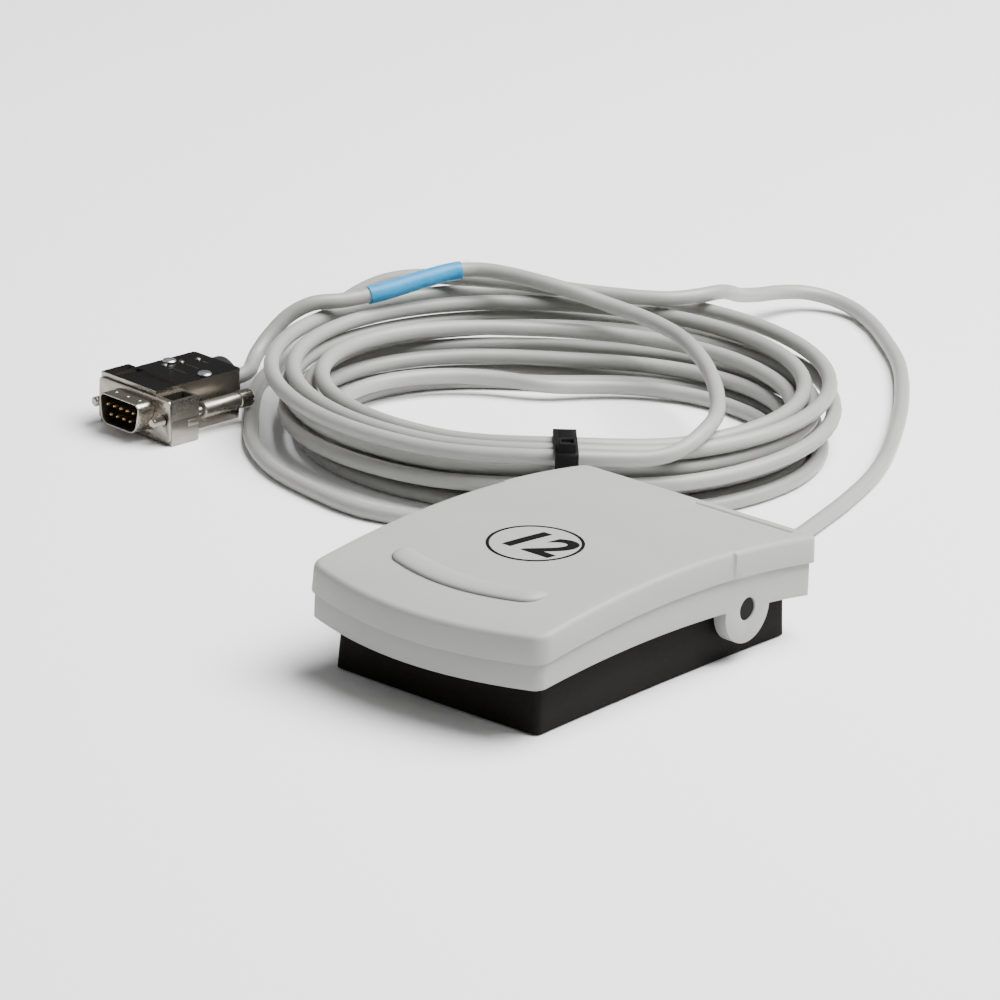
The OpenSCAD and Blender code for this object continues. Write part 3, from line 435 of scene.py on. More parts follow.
def metal(name, color, rough, lines, smudge=0.12):
    """Plated metal with drawn lines, smudges and tiny scratches."""
    book = Finish(name)
    cloud = book.noise(60.0, 5.0, 0.65)
    drawn = book.noise(260.0, 3.0, 0.6, book.stretched(1, 0.05, 1, 0.09))
    scratch = book.noise(900.0, 2.0, 0.6, book.stretched(0.07, 1, 1, 0.6))
    scratch = book.spread(scratch, 0.68, 0.74)
    tone = book.mottled(cloud, rgba(color), rgba(color, 1 - smudge))
    level = book.spread(cloud, 0.3, 0.75, rough, rough + 0.16) + drawn * lines
    book.look(base_color=tone, metallic=0.97, roughness=level + scratch * 0.12,
        normal=book.bump(drawn * 0.6 + scratch, 0.25, 0.03))
    return book.material


def jacket(name, color, rough):
    """Smooth vinyl of a cable, a little uneven, with handling marks."""
    book = Finish(name)
    cloud = book.noise(24.0, 4.0, 0.6)
    fine = book.noise(700.0, 2.0)
    marks = book.spread(book.noise(150.0, 4.0, 0.75), 0.64, 0.74)
    tone = book.mottled(cloud, rgba(color, 0.95), rgba(color, 1.04))
    tone = book.mix(marks * 0.35, tone, rgba(color, 0.72))
    book.look(base_color=tone,
        roughness=book.spread(cloud, 0.3, 0.7, rough - 0.07, rough + 0.07),
        normal=book.bump(fine + cloud * 2, 0.25, 0.05), specular_ior_level=0.45)
    return book.material


def smooth_label(name, color, alpha, rough):
    """Smooth film of a label or a sleeve, clear where alpha is low."""
    book = Finish(name)
    cloud = book.noise(180.0, 3.0)
    book.look(base_color=book.mottled(cloud, rgba(color, 0.92), rgba(color, 1.06)),
        roughness=book.spread(cloud, 0.3, 0.7, rough - 0.06, rough + 0.08),
        normal=book.bump(cloud, 0.3, 0.08), alpha=alpha, specular_ior_level=0.15)
    return book.material


def floor_paint(color):
    book = Finish("floor_paint")
    cloud = book.spread(book.noise(3.0, 3.0), 0.3, 0.7)
    book.look(base_color=book.mix(cloud, rgba(color, 0.995), rgba(color)), roughness=0.9)
    return book.material


FINISHES = {}


def make_finishes(colors):
    """Makes a material for each slot of the record, the lid's ink and a dark plate of painted
    reflection.
    """
    # Colour, roughness, grain's scale and depth, dust, specular level
    plastics = {
        "lid_plastic": (colors.lid, 0.52, 2600.0, 0.05, 0.02, 0.35),
        "base_plastic": (colors.base, 0.62, 2200.0, 0.07, 0.12, 0.05),
        "black_plastic": ((0.009, 0.009, 0.009), 0.5, 1500.0, 0.02, 0.1, 0.04),
        "red_plastic": (SLOT_COLORS["red_plastic"], 0.3, 1500.0, 0.02, 0.05, 0.5),
        "black_rubber": ((0.012, 0.012, 0.012), 0.72, 1800.0, 0.06, 0.14, 0.12),
        "printed_ink": ((0.005, 0.005, 0.005), 0.5, 2600.0, 0.03, 0.05, 0.05),
    }
    # Colour, roughness, strength of the drawn lines, smudge
    metals = {
        "bright_steel": ((0.44, 0.45, 0.47), 0.26, 0.06),
        "gold_brass": ((0.36, 0.24, 0.09), 0.22, 0.03),
        "nickel_plate": (colors.nickel, 0.2, 0.05, 0.2),
        # Dark copy of the nickel plating: a painted reflection of dark surroundings on the
        # hood's top
        "dark_nickel": ((0.009, 0.0083, 0.0075), 0.16, 0.04, 0.3),
    }
    # Colour, roughness
    jackets = {
        "cable_jacket": (colors.cable, 0.42),
        "wire_jacket": (SLOT_COLORS["wire_jacket"], 0.38),
    }
    # Colour, alpha, roughness
    films = {
        "blue_label": (colors.label, 1.0, 0.25),
        "clear_sleeve": ((0.34, 0.34, 0.34), 0.06, 0.2),
    }
    for make, table in ((moulded, plastics), (metal, metals), (jacket, jackets),
            (smooth_label, films)):
        for name, values in table.items():
            FINISHES[name] = make(name, *values)


# The cable's run: out of the gland, round the coil, and back to the plug

LEAD_ROUTE = [(0, 90, 4.9), (-2, 99, 3.6), (-5, 110, 2.6), (-9, 126, 2.3), (-15, 149, 2.3),
    (-24, 175, 2.3), (-38, 202, 2.3), (-57, 232, 2.3), (-78, 259, 2.3), (-99, 278.4, 2.3),
    (-109.5, 286.5, 2.3), (-119.5, 291.5, 3), (-128.5, 291.5, 4.4), (-135, 286.5, 6),
    (-137.6, 277, 7.6), (-136.5, 266, 9.6), (-133, 254, 12.8), (-128.5, 243, 16.4),
    (-124.5, 234, 20), (-122, 225.5, 22.7), (-122.5, 216, 23.5), (-126.5, 208, 23.4),
    (-133, 202.5, 23.4), (-141, 198, 23.4), (-150.5, 193.5, 23.4), (-161.5, 189, 23.4),
    (-173, 183.5, 23.4), (-184, 177, 23.4), (-194.5, 169, 23.3), (-202, 160.5, 21.5),
    (-207, 151, 17), (-209.5, 140.5, 11), (-209.5, 129, 5.5), (-206, 116.5, 2.7),
    (-200, 104, 2.3), (-190.2, 90.8, 2.3), (-178.6, 77.5, 2.3), (-165, 63.5, 2.3),
    (-147, 52, 2.3), (-126, 46, 2.3), (-105, 44, 2.3), (-86, 52, 2.3), (-74.5, 63.5, 2.9),
    (-65.9, 74.8, 3.7), (-61.9, 79.4, 3.8), (-58.2, 83.9, 3.75)]
TAIL_ROUTE = [(-42.4, 108, 20.5), (-43.2, 117, 23), (-48.9, 129.9, 23.3), (-57.5, 142, 23.3),
    (-71.2, 157, 23.3), (-86.2, 170.2, 23.3), (-100.5, 180, 23.3), (-112.8, 185.1, 23.3),
    (-124.7, 187.5, 23.5), (-135.8, 186.7, 24.5), (-145, 183.6, 26.5), (-155, 180.3, 28),
    (-167.7, 177.9, 28.5), (-176, 174.6, 28.4), (-180.8, 168.5, 28), (-184, 158, 26.9),
    (-188.5, 145, 24.9), (-193.5, 134.5, 23.6), (-199.3, 127, 22.9), (-204, 121.5, 19.2),
    (-206.2, 115.5, 13.8), (-205.6, 109.5, 9.8), (-202.5, 103.8, 8.1), (-199.9, 99.5, 7.7)]
COIL_TURNS = 10
LABEL_ENDS, SLEEVE_ENDS = (190.8, 222.8), (188.2, 225.4)


def clamp01(v):
    return max(0.0, min(1.0, v))


def coil_point(t):
    """Centre of the cable after t turns: each layer goes in or out, then climbs to the next."""
    a = START_TURN + 360 * t
    layer = min(int(t / LAYER_TURNS), 3)
    within = t - layer * LAYER_TURNS
    into = within if layer % 2 == 0 else LAYER_TURNS - within
    climbs = [clamp01(2 * (t - j * LAYER_TURNS) + 0.5) for j in (1, 2, 3)]
    outer_drifts = [clamp01(t - j * LAYER_TURNS - 0.25) for j in (1, 2, 3)]
    drift = outer_drifts[0] + climbs[1] + outer_drifts[2]
    far = ((1 - math.cos(math.radians(a - TIE_TURN))) / 2) ** 2
    off = (a - TIE_TURN + 180) % 360 - 180
    lift = TIE_BULGE * (1 + math.cos(math.radians(6 * off))) / 2 if abs(off) < 30 else 0
    r = (COIL_R - into * (COIL_PITCH + 4 * far) - (3 - drift) * 11 * far - 4 * far
        + 2.2 * math.cos(math.radians(a - 39)) ** 2)
    return Vector((COIL_X + r * math.cos(math.radians(a)),
        COIL_Y + r * math.sin(math.radians(a)), CABLE_R + sum(climbs) * COIL_RISE + lift))


def smooth_run(points, steps):
    """Runs a smooth line through the points of a route."""
    run = []
    last = len(points) - 1
    for k in range(steps + 1):
        u = last * k / steps
        i = min(int(u), last - 1)
        s = u - i
        a, b = points[max(i - 1, 0)], points[i]
        c, d = points[i + 1], points[min(i + 2, last)]
        run.append((2 * b + (c - a) * s + (2 * a - 5 * b + 4 * c - d) * s ** 2
            + (3 * b - 3 * c + d - a) * s ** 3) / 2)
    return run


def plug_point(x, y, z):
    c, s = math.cos(math.radians(PLUG_YAW)), math.sin(math.radians(PLUG_YAW))
    return Vector((PLUG_X + x * c - y * s, PLUG_Y + x * s + y * c, z))


def cable_runs():
    """The cable's two runs: gland to the coil's end, and the coil's end to the plug."""
    turns = [coil_point(i / 24) for i in range(24 * COIL_TURNS + 1)]
    way_in = (turns[1] - turns[0]).normalized() * 2 * CABLE_R
    way_out = (turns[-1] - turns[-2]).normalized() * 2 * CABLE_R
    coil_in, coil_out = turns[0] - way_in, turns[-1] + way_out
    start = Vector((0, GLAND_Y, CABLE_Z))
    lead = smooth_run([start + Vector((0, 2 * CABLE_R, 0))]
        + [Vector(p) for p in LEAD_ROUTE] + [coil_in - way_in], 230)
    coil = [coil_point(i / 80) for i in range(80 * COIL_TURNS + 1)]
    tail = smooth_run([2 * coil_out - turns[-1]] + [Vector(p) for p in TAIL_ROUTE]
        + [plug_point(PLUG_CABLE_X, PLUG_END_Y + 2 * CABLE_R, PLUG_Z)], 130)
    end = plug_point(PLUG_CABLE_X, PLUG_END_Y, PLUG_Z)
    return [start] + lead + [coil_in] + coil, [coil_out] + tail + [end]


def run_length(run):
    return sum((b - a).length for a, b in zip(run, run[1:]))


def point_at(run, way):
    """The point of a run at a length along it."""
    for a, b in zip(run, run[1:]):
        step = (b - a).length
        if way < step:
            return a.lerp(b, way / step)
        way -= step
    return run[-1]


def part_of(run, start, end):
    """The stretch of a run between two lengths along it."""
    inside, way = [], 0.0
    for a, b in zip(run, run[1:]):
        way += (b - a).length
        if start < way < end:
            inside.append(b)
    return [point_at(run, start)] + inside + [point_at(run, end)]


def relax(run, middle, reach, step=1.5, rounds=40):
    """Evens out the bend of a run near one of its points."""
    first, last = middle - reach, middle + 4 * reach
    stretch = run[first:last]
    even = [point_at(stretch, step * k) for k in range(int(run_length(stretch) / step))]
    for _ in range(rounds):
        even[1:-1] = [(a + 2 * b + c) / 4 for a, b, c in zip(even, even[1:], even[2:])]
    return run[:first] + even + run[last:]


def draw_run(name, run, radius, sides=5):
    """One open spline through a run of points, with a round section."""
    curve = bpy.data.curves.new(name, "CURVE")
    curve.dimensions = "3D"
    spline = curve.splines.new("POLY")
    spline.points.add(len(run) - 1)
    for point, place in zip(spline.points, run):
        point.co = (*(place / 1000), 1)
    curve.bevel_depth = radius / 1000
    curve.bevel_resolution = sides
    curve.use_fill_caps = True
    spline.use_smooth = True
    obj = bpy.data.objects.new(name, curve)
    bpy.context.scene.collection.objects.link(obj)
    return obj


def drawn_mesh(*args):
    """Draws a run as draw_run does, and makes it a closed mesh."""
    obj = made_mesh(draw_run(*args))
    edit(obj)
    faces_out()
    done()
    return obj


# Property groups

class FootSwitchSizes(bpy.types.PropertyGroup):
    ridge_length: bpy.props.FloatProperty(name="Ridge length",
        description="Length of the grip ridge across the toe", default=0.050,
        min=0.02, max=0.06, unit="LENGTH")
    ridge_height: bpy.props.FloatProperty(name="Ridge height",
        description="Height of the grip ridge above the lid", default=0.0013,
        min=0.0004, max=0.0025, unit="LENGTH")
    ring_radius: bpy.props.FloatProperty(name="Ring radius",
        description="Radius of the printed ring on the lid", default=0.0126,
        min=0.008, max=0.02, unit="LENGTH")
    edge_radius: bpy.props.FloatProperty(name="Edge radius",
        description="Rounding of the cover's top edge", default=0.0015,
        min=0.0006, max=0.002, unit="LENGTH")


class FootSwitchColors(bpy.types.PropertyGroup):
    lid: bpy.props.FloatVectorProperty(name="Lid", description="Colour of the lid's plastic",
        default=(0.28, 0.281, 0.269), subtype="COLOR", min=0, max=1)
    base: bpy.props.FloatVectorProperty(name="Base",
        description="Colour of the base's plastic",
        default=(0.0085, 0.0077, 0.0066), subtype="COLOR", min=0, max=1)
    cable: bpy.props.FloatVectorProperty(name="Cable",
        description="Colour of the cable's jacket",
        default=(0.27, 0.27, 0.252), subtype="COLOR", min=0, max=1)
    label: bpy.props.FloatVectorProperty(name="Label",
        description="Colour of the cable's label",
        default=(0.0, 0.22, 0.45), subtype="COLOR", min=0, max=1)
    nickel: bpy.props.FloatVectorProperty(name="Plug",
        description="Colour of the plug's plating",
        default=(0.31, 0.288, 0.25), subtype="COLOR", min=0, max=1)
    floor: bpy.props.FloatVectorProperty(name="Floor",
        description="Colour of the studio floor",
        default=(0.82, 0.82, 0.82), subtype="COLOR", min=0, max=1)


# Stage

class FOOTSWITCH_OT_stage(bpy.types.Operator):
    """Sets up the camera, the floor and the studio light"""
    bl_idname = "footswitch.stage"
    bl_label = "Stage"

    def execute(self, context):
        self.add_camera(context.scene)
        deselect()
        bpy.ops.mesh.primitive_plane_add(size=1, location=(0, 0, 0))
        floor = bpy.context.object
        floor.name = "studio_floor"
        edit(floor)
        pick_all()
        bpy.ops.transform.resize(value=(12, 12, 1))
        done()
        floor.data.materials.append(floor_paint(context.scene.footswitch_colors.floor))
        lamps = (("soft_top", (0.45, 0.6, 1.4), (-0.05, 0.05, 0), 1.3, 114),
            ("soft_left", (-1.5, -0.5, 0.9), (-0.05, 0.05, 0), 1.4, 3.6),
            ("soft_right", (1.6, -0.3, 0.9), (0, 0, 0), 0.8, 4.8))
        for name, place, aim, size, power in lamps:
            deselect()
            look = (Vector(aim) - Vector(place)).to_track_quat("-Z", "Y").to_euler()
            bpy.ops.object.light_add(type="AREA", radius=size, location=place, rotation=look)
            bpy.context.object.name = name
            bpy.context.object.data.energy = power
        world = bpy.data.worlds.new("studio_air")
        world.use_nodes = True
        color, strength = world.node_tree.nodes["Background"].inputs[:2]
        color.default_value, strength.default_value = (1, 1, 1, 1), 0.19
        context.scene.world = world
        return {"FINISHED"}

    def add_camera(self, scene):
        """Long lens from the photograph's side, turned a little about its own axis."""
        az, el, roll = (math.radians(v) for v in (39.335, 19.618, 2.164))
        back = Vector((math.sin(az) * math.cos(el), -math.cos(az) * math.cos(el),
            math.sin(el)))
        right = Vector((math.cos(az), math.sin(az), 0))
        up = back.cross(right)
        x_axis = right * math.cos(roll) + up * math.sin(roll)
        y_axis = up * math.cos(roll) - right * math.sin(roll)
        turn = Matrix((x_axis, y_axis, back)).transposed().to_euler()
        deselect()
        bpy.ops.object.camera_add(location=(0.9274, -1.1564, 0.5712), rotation=turn)
        camera = bpy.context.object
        camera.name = "photo_camera"
        camera.data.sensor_width = 36
        camera.data.lens = 216
        camera.data.clip_end = 50
        scene.camera = camera


# Cable, with its tie and label

class FOOTSWITCH_OT_cable(bpy.types.Operator):
    """Lays the cable from the gland through the coil to the plug"""
    bl_idname = "footswitch.cable"
    bl_label = "Cable"

    def execute(self, context):
        lead, tail = cable_runs()
        cable = draw_run("cable", relax(lead + tail, len(lead), 4), CABLE_R)
        cable.data.materials.append(FINISHES["cable_jacket"])
        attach(cable, "housing")
        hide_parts("cable_lead", "cable_coil", "cable_tail")
        self.wrap("marker_label_wrap", part_of(tail, *LABEL_ENDS), 2.78, "blue_label",
            "marker_label")
        self.wrap("clear_label_sleeve", part_of(tail, *SLEEVE_ENDS), 3.05, "clear_sleeve",
            "label_sleeve")
        return {"FINISHED"}

    def wrap(self, name, run, radius, slot, node):
        """Film rolled round the cable."""
        piece = drawn_mesh(name, run, radius, 7)
        soften(piece, 0.12)
        finish_piece(piece, "housing", slot, node)


class FOOTSWITCH_OT_cable_tie(bpy.types.Operator):
    """Makes the black tie that holds the coil"""
    bl_idname = "footswitch.cable_tie"
    bl_label = "Cable tie"

    def execute(self, context):
        r1 = COIL_R + 3.4 + CABLE_R + 0.2
        r0 = COIL_R - (2.05 * COIL_PITCH + CABLE_R) - 0.6
        z1 = 3 * COIL_RISE + 2 * CABLE_R + TIE_BULGE + 0.4
        thick, half = 1.1, 3.3
        top = z1 + thick
        strap = add_box("coil_tie", (r0 - thick, -half, 0.1), (r1 + thick, half, top))
        edit(strap)
        round_off(spans(1, 4), 1.6, 5)
        pick("FACE", lambda f: abs(f.normal.y) > 0.9)
        inset_by(thick)
        bpy.ops.mesh.bridge_edge_loops()
        faces_out()
        done()
        tooth = add_box("tooth", (r0 + 1.6, -2.0, top - 0.1), (r0 + 1.95, 2.0, top + 0.12))
        teeth = copies(tooth, *((0.9 * k, 0, 0) for k in range(1, 12)))
        head = add_box("tie_head", (r1 - 5.0, -2.5, z1 + 0.5), (r1 + 0.4, 2.5, top + 2.6))
        edit(head)
        pick("FACE", lambda f: f.normal.z > 0.9)
        inset_by(0.8)
        extrude_by(0, 0, -1.2)
        done()
        end = add_box("tie_end", (r1 - 7.0, -1.9, top + 1.0), (r1 - 4.8, 1.9, top + 2.0))
        soften(head, 0.45, 3, 60)
        soften(end, 0.2, 2, 60)
        join(strap, head, end, tooth, *teeth)
        soften(strap, 0.15, 2, 60)
        strap.matrix_world = (Matrix.Translation(mm(COIL_X, COIL_Y, 0))
            @ Matrix.Rotation(math.radians(TIE_TURN), 4, "Z"))
        finish_piece(strap, "housing", "black_plastic", "cable_tie")
        return {"FINISHED"}


# Lid

def outline_box(name, step_in, z0, z1, draft=0.0, width=LID_W, y0=LID_CY, y1=LID_Y1,
        corner=3.2, bow=LID_BOW, front_depth=3.6):
    """Box in plan like the lid's outline, cut into rows and with its bowed front.

    It is left in edit mode. front_depth is how far back the bowed front reaches.
    """
    half = width / 2 - step_in
    box = add_box(name, (-half, y0 + step_in, z0), (half, y1 - step_in, z1))
    edit(box)
    if draft:
        pick("VERT", lambda v: v.co.z * 1000 > (z0 + z1) / 2)
        bpy.ops.transform.resize(value=(1 - draft / half, 1 - 2 * draft / (y1 - y0), 1),
            center_override=mm(0, (y0 + y1) / 2, z1))
    round_off(is_upright, max(corner - step_in, 0.6), 6)
    bisect_at(0, [half * k / 9 for k in range(-8, 9)])
    bisect_at(1, [y0 + 4 + (y1 - y0 - 8) * k / 26 for k in range(27)])
    shift_rows(lambda co: co.x, lambda x: mm(0, -bow * (1 - (x / (width / 2)) ** 2), 0),
        lambda co: co.y < y0 + front_depth and abs(co.x) < width / 2)
    return box


class FOOTSWITCH_OT_cover(bpy.types.Operator):
    """Models the arched cover with its shoulder, ridge and bare panel"""
    bl_idname = "footswitch.cover"
    bl_label = "Cover"

    def execute(self, context):
        sizes = context.scene.footswitch_sizes
        cover = outline_box("arched_cover", 0, 0, COVER_H, draft=0.45)
        bisect_at(1, (SHOULDER_Y, SHOULDER_Y + 1.0, *PANEL_Y))
        bisect_at(0, PANEL_X)
        for side in (-1, 1):
            pick("VERT", lambda v: self.on_shoulder(v.co * 1000, side))
            bpy.ops.transform.translate(value=mm(side * 0.8, 0, 0))
            pick("VERT", lambda v: self.on_shoulder(v.co * 1000, side)
                and v.co.z * 1000 < COVER_H / 2)
            bpy.ops.transform.translate(value=mm(-side * 0.5, 0, 0))
        shift_rows(lambda co: co.y, lambda y: mm(0, 0, top_at(y) - COVER_H))
        drop_faces(lambda f: f.normal.z < -0.7)
        pick("FACE", lambda f: f.normal.z > 0.7
            and self.in_panel(f.calc_center_median() * 1000))
        inset_by(0.35, depth=-0.45)
        done()
        wall_in(cover, LID_WALL)
        edit(cover)
        round_off(self.on_top_edge, sizes.edge_radius * 1000, 5)
        done()
        join(cover, self.ridge(sizes))
        soften(cover, 0.18, 2, 55)
        finish_piece(cover, "pedal", "lid_plastic", "top_cover", angle=30)
        return {"FINISHED"}

    def on_shoulder(self, co, side):
        return co.x * side > 36 and co.y > SHOULDER_Y + 0.5

    def in_panel(self, co):
        return PANEL_X[0] < co.x < PANEL_X[1] and PANEL_Y[0] < co.y < PANEL_Y[1]

    def on_top_edge(self, edge):
        """Finds the outer edge between the cover's top and its sides."""
        faces = edge.link_faces
        if len(faces) != 2 or faces[0].calc_center_median().z < 0.012:
            return False
        lean = [face.normal.z for face in faces]
        if max(lean) < 0.8 or abs(min(lean)) > 0.3:
            return False
        x, y, z = (edge.verts[0].co + edge.verts[1].co) * 500
        front = LID_Y0 + LID_BOW * (x / (LID_W / 2)) ** 2
        near_side = abs(x) > LID_W / 2 - 1.6 or y > LID_Y1 - 1.6 or y < front + 1.9
        near_corner = abs(x) > LID_W / 2 - 4.5 and (y > LID_Y1 - 4.5 or y < LID_CY + 4.5)
        return (near_side or near_corner) and z > top_at(y) - 1.2

    def ridge(self, sizes):
        """Bar across the toe with a round section and round ends, sunk into the lid."""
        half, rise = sizes.ridge_length * 500, sizes.ridge_height * 1000
        deselect()
        bpy.ops.mesh.primitive_cylinder_add(vertices=32, radius=RIDGE_R / 1000,
            depth=(2 * half - 7.4) / 1000, rotation=(0, math.pi / 2, 0))
        bar = settle(bpy.context.object)
        bar.name = "grip_ridge"
        edit(bar)
        for side in (-1, 1):
            size = 1.0
            for smaller, step in ((0.92, 1.5), (0.72, 1.2), (0.4, 0.7), (0.1, 0.25)):
                pick("FACE", lambda f: f.normal.x * side > 0.99 and len(f.verts) > 8)
                extrude_by(side * step, 0, 0)
                bpy.ops.transform.resize(value=(1, smaller / size, smaller / size),
                    center_override=(0, 0, 0))
                size = smaller
        bisect_at(0, [half * k / 10 for k in range(-8, 9)])
        pick_all()
        bpy.ops.transform.resize(value=(1, 1, (rise + RIDGE_SUNK) / RIDGE_R),
            center_override=(0, 0, 0))
        shift_rows(lambda co: co.x, self.ridge_place)
        faces_out()
        done()
        return bar

    def ridge_place(self, x):
        y = RIDGE_Y + RIDGE_BOW * (x / 22) ** 2
        return mm(0, y, top_at(y) - RIDGE_SUNK)


class FOOTSWITCH_OT_lid_print(bpy.types.Operator):
    """Prints a plain ring with a number on the lid"""
    bl_idname = "footswitch.lid_print"
    bl_label = "Lid print"

    def execute(self, context):
        middle, half_line = mm(PRINT_X, PRINT_Y, 0), 0.00045
        inner = context.scene.footswitch_sizes.ring_radius - half_line
        deselect()
        bpy.ops.mesh.primitive_circle_add(vertices=96, radius=inner, location=middle)
        ring = settle(bpy.context.object)
        ring.name = "printed_ring"
        edit(ring)
        pick_all()
        extrude_by(0, 0, 0)
        wider = 1 + 2 * half_line / inner
        bpy.ops.transform.resize(value=(wider, wider, 1), center_override=middle)
        done()
        deselect()
        bpy.ops.object.text_add(location=middle)
        number = bpy.context.object
        number.data.body = "12"
        number.data.size = 0.019
        number.data.align_x, number.data.align_y = "CENTER", "CENTER"
        number.data.offset = 0.0005
        number.data.shear = 0.2
        number = settle(made_mesh(number))
        edit(number)
        pick_all()
        bpy.ops.mesh.remove_doubles(threshold=0.00001)
        bisect_at(1, [PRINT_Y + k for k in range(-8, 9)])
        done()
        join(ring, number)
        edit(ring)
        shift_rows(lambda co: co.y, lambda y: mm(0, 0, top_at(y) + 0.02))
        done()
        apply_modifier(ring, "SOLIDIFY", thickness=0.00004, offset=1, use_rim=True)
        finish_piece(ring, "pedal", "black_plastic", finish="printed_ink", angle=30)
        return {"FINISHED"}


class FOOTSWITCH_OT_lid_band(bpy.types.Operator):
    """Models the lid's lower band with its deck and hinge ears"""
    bl_idname = "footswitch.lid_band"
    bl_label = "Lid band"

    def execute(self, context):
        height, gap = 8, 0.15
        band = outline_box("lid_band", LIP_STEP, 0, height)
        shift_rows(lambda co: co.y,
            lambda y: mm(0, 0, top_at(y) - COVER_H - gap - height), lambda co: co.z > 4)
        shift_rows(lambda co: co.y, lambda y: mm(0, 0, skirt_at(y)), lambda co: co.z < 4)
        drop_faces(lambda f: abs(f.normal.z) > 0.7)
        done()
        wall_in(band, LID_WALL)
        outer = LID_W / 2 - LIP_STEP
        for start in (-outer, outer - 4):
            fuse(band, add_rod("ear", (start, HINGE_Y, HINGE_Z), (1, 0, 0), 4, 9.4, 64))
            cut(band, add_rod("bore", (start - 2, HINGE_Y, HINGE_Z), (1, 0, 0), 8, 3.25))
        inner = outer - LID_WALL * 3 / 4
        deck = add_box("deck", (-inner, LID_CY + 8, DECK_Z),
            (inner, LID_Y1 - 12.8, DECK_Z + 2))
        edit(deck)
        round_off(is_upright, 4, 4)
        done()
        cup = turned("spring_cup", [(5.4, 0), (7.4, 0), (7.4, 2.2), (5.4, 2.2), (5.4, 0)],
            (0, SPRING_Y, DECK_Z - 2), (0, 0, 1), 40)
        boss = turned("actuator_boss", [(1.52, 0), (4, 0), (4, 4), (3.6, 4.4), (1.52, 4.4),
            (1.52, 0)], (0, ACTUATOR_Y, DECK_Z), (0, 0, 1))
        cut(deck, add_rod("hole", (0, ACTUATOR_Y, DECK_Z - 1), (0, 0, 1), 6, 1.52, 24),
            *(add_rod("hole", (x, y, DECK_Z - 1), (0, 0, 1), 4, 1.4, 24)
                for x in (-27.5, 27.5) for y in (-32.9, 37.2)))
        rib = add_box("rib", (-1, -44, DECK_Z + 1.9), (1, 6.5, DECK_Z + 3.2))
        join(band, deck, cup, boss, rib, *copies(rib, (-13.75, 0, 0), (13.75, 0, 0)))
        soften(band, 0.16)
        finish_piece(band, "pedal", "lid_plastic", "pedal_frame", angle=30)
        return {"FINISHED"}


# Base

class FOOTSWITCH_OT_base(bpy.types.Operator):
    """Models the tub base with its bosses, ledges and posts"""
    bl_idname = "footswitch.base"
    bl_label = "Base"

    def execute(self, context):
        top, up = 22, (0, 0, 1)
        tub = outline_box("tub_base", 0, 0.5, top, draft=0.7, width=BASE_W,
            y0=BASE_Y0 + 0.5, y1=BASE_Y1, corner=1.8, bow=0.5, front_depth=2.2)
        shift_rows(lambda co: co.y, lambda y: mm(0, 0, rim_at(y) - top),
            lambda co: co.z > 10)
        for side in (-1, 1):
            shift_rows(lambda co: co.y, lambda y: self.waist(y, side),
                lambda co: co.x * side > BASE_W / 2 - 1.4)
        pick("FACE", lambda f: f.normal.z > 0.7)
        inset_by(BASE_WALL)
        extrude_by(0, 0, -12)
        bpy.ops.transform.resize(value=(1, 1, 0), center_override=mm(0, 0, BASE_FLOOR))
        done()
        tools = [add_rod("pocket", (x, y, -1), up, 3.1, 5.1, 40)
            for x in (-26, 26) for y in (BASE_Y0 + 8.5, BASE_Y1 - 8.5)]
        tools.append(add_rod("gland_hole", (0, BASE_Y1 - 5, CABLE_Z), (0, 1, 0), 8, 3.1, 40))
        tools += [add_rod("screw_hole", (x, 18.9, -1), up, 6, 1.22, 24)
            for x in (-11.55, 1.65)]
        cut(tub, *tools)
        post = turned("spring_post", [(0, -0.4), (3.6, -0.4), (3.6, 4.0), (3.1, 4.5),
            (0, 4.5)], (0, SPRING_Y, BASE_FLOOR), up)
        boss = turned("clamp_boss", [(1.32, -0.4), (3, -0.4), (3, 5.9), (1.32, 5.9),
            (1.32, -0.4)], (-5.5, 44.1, BASE_FLOOR), up)
        join(tub, self.boss(-1), self.ledge(-1), self.boss(1), self.ledge(1), post, boss,
            *copies(boss, (11, 0, 0)))
        soften(tub)
        finish_piece(tub, "housing", "base_plastic", "base_housing", angle=30)
        return {"FINISHED"}

    def waist(self, y, side):
        """Draws the long sides in a little, most at half their length."""
        s = clamp01((y - BASE_Y0 - 2) / (BASE_Y1 - BASE_Y0 - 4))
        return mm(-side * 4 * 0.8 * s * (1 - s), 0, 0)

    def boss(self, side):
        """Round-topped block that carries an end of the hinge shaft."""
        radius = 4.6
        x0, x1 = sorted((side * 25.9, side * 32.2))
        block = add_box("hinge_boss", (x0, HINGE_Y - radius, 3.0),
            (x1, HINGE_Y + radius, HINGE_Z))
        edit(block)
        pick("FACE", lambda f: f.normal.z > 0.9)
        extrude_by(0, 0, radius)
        round_off(lambda e: spans(0, 3)(e)
            and min(v.co.z for v in e.verts) * 1000 > HINGE_Z + 1, radius - 0.05, 8)
        done()
        bore = add_rod("bore", (x0 - 1, HINGE_Y, HINGE_Z), (1, 0, 0), 8.4, 2.03, 32)
        return cut(block, bore)

    def ledge(self, side):
        """Front ledge for a stop pad, under the deck when the lid is down."""
        slope = math.tan(math.radians(PRESS_ANGLE))
        pad_y = BASE_Y0 + BASE_WALL + 1.2 + 4 + 0.3
        top = DECK_Z - (HINGE_Y - pad_y + 4) * slope - 0.1 - 1.5
        x0, x1 = sorted((side * 23.1, side * 32.0))
        block = add_box("pad_ledge", (x0, BASE_Y0 + 2.2, 3.0), (x1, pad_y + 4, top))
        edit(block)
        pick("FACE", lambda f: f.normal.y > 0.9)
        inset_by(1.2)
        extrude_by(0, -1.5, 0)
        done()
        return block


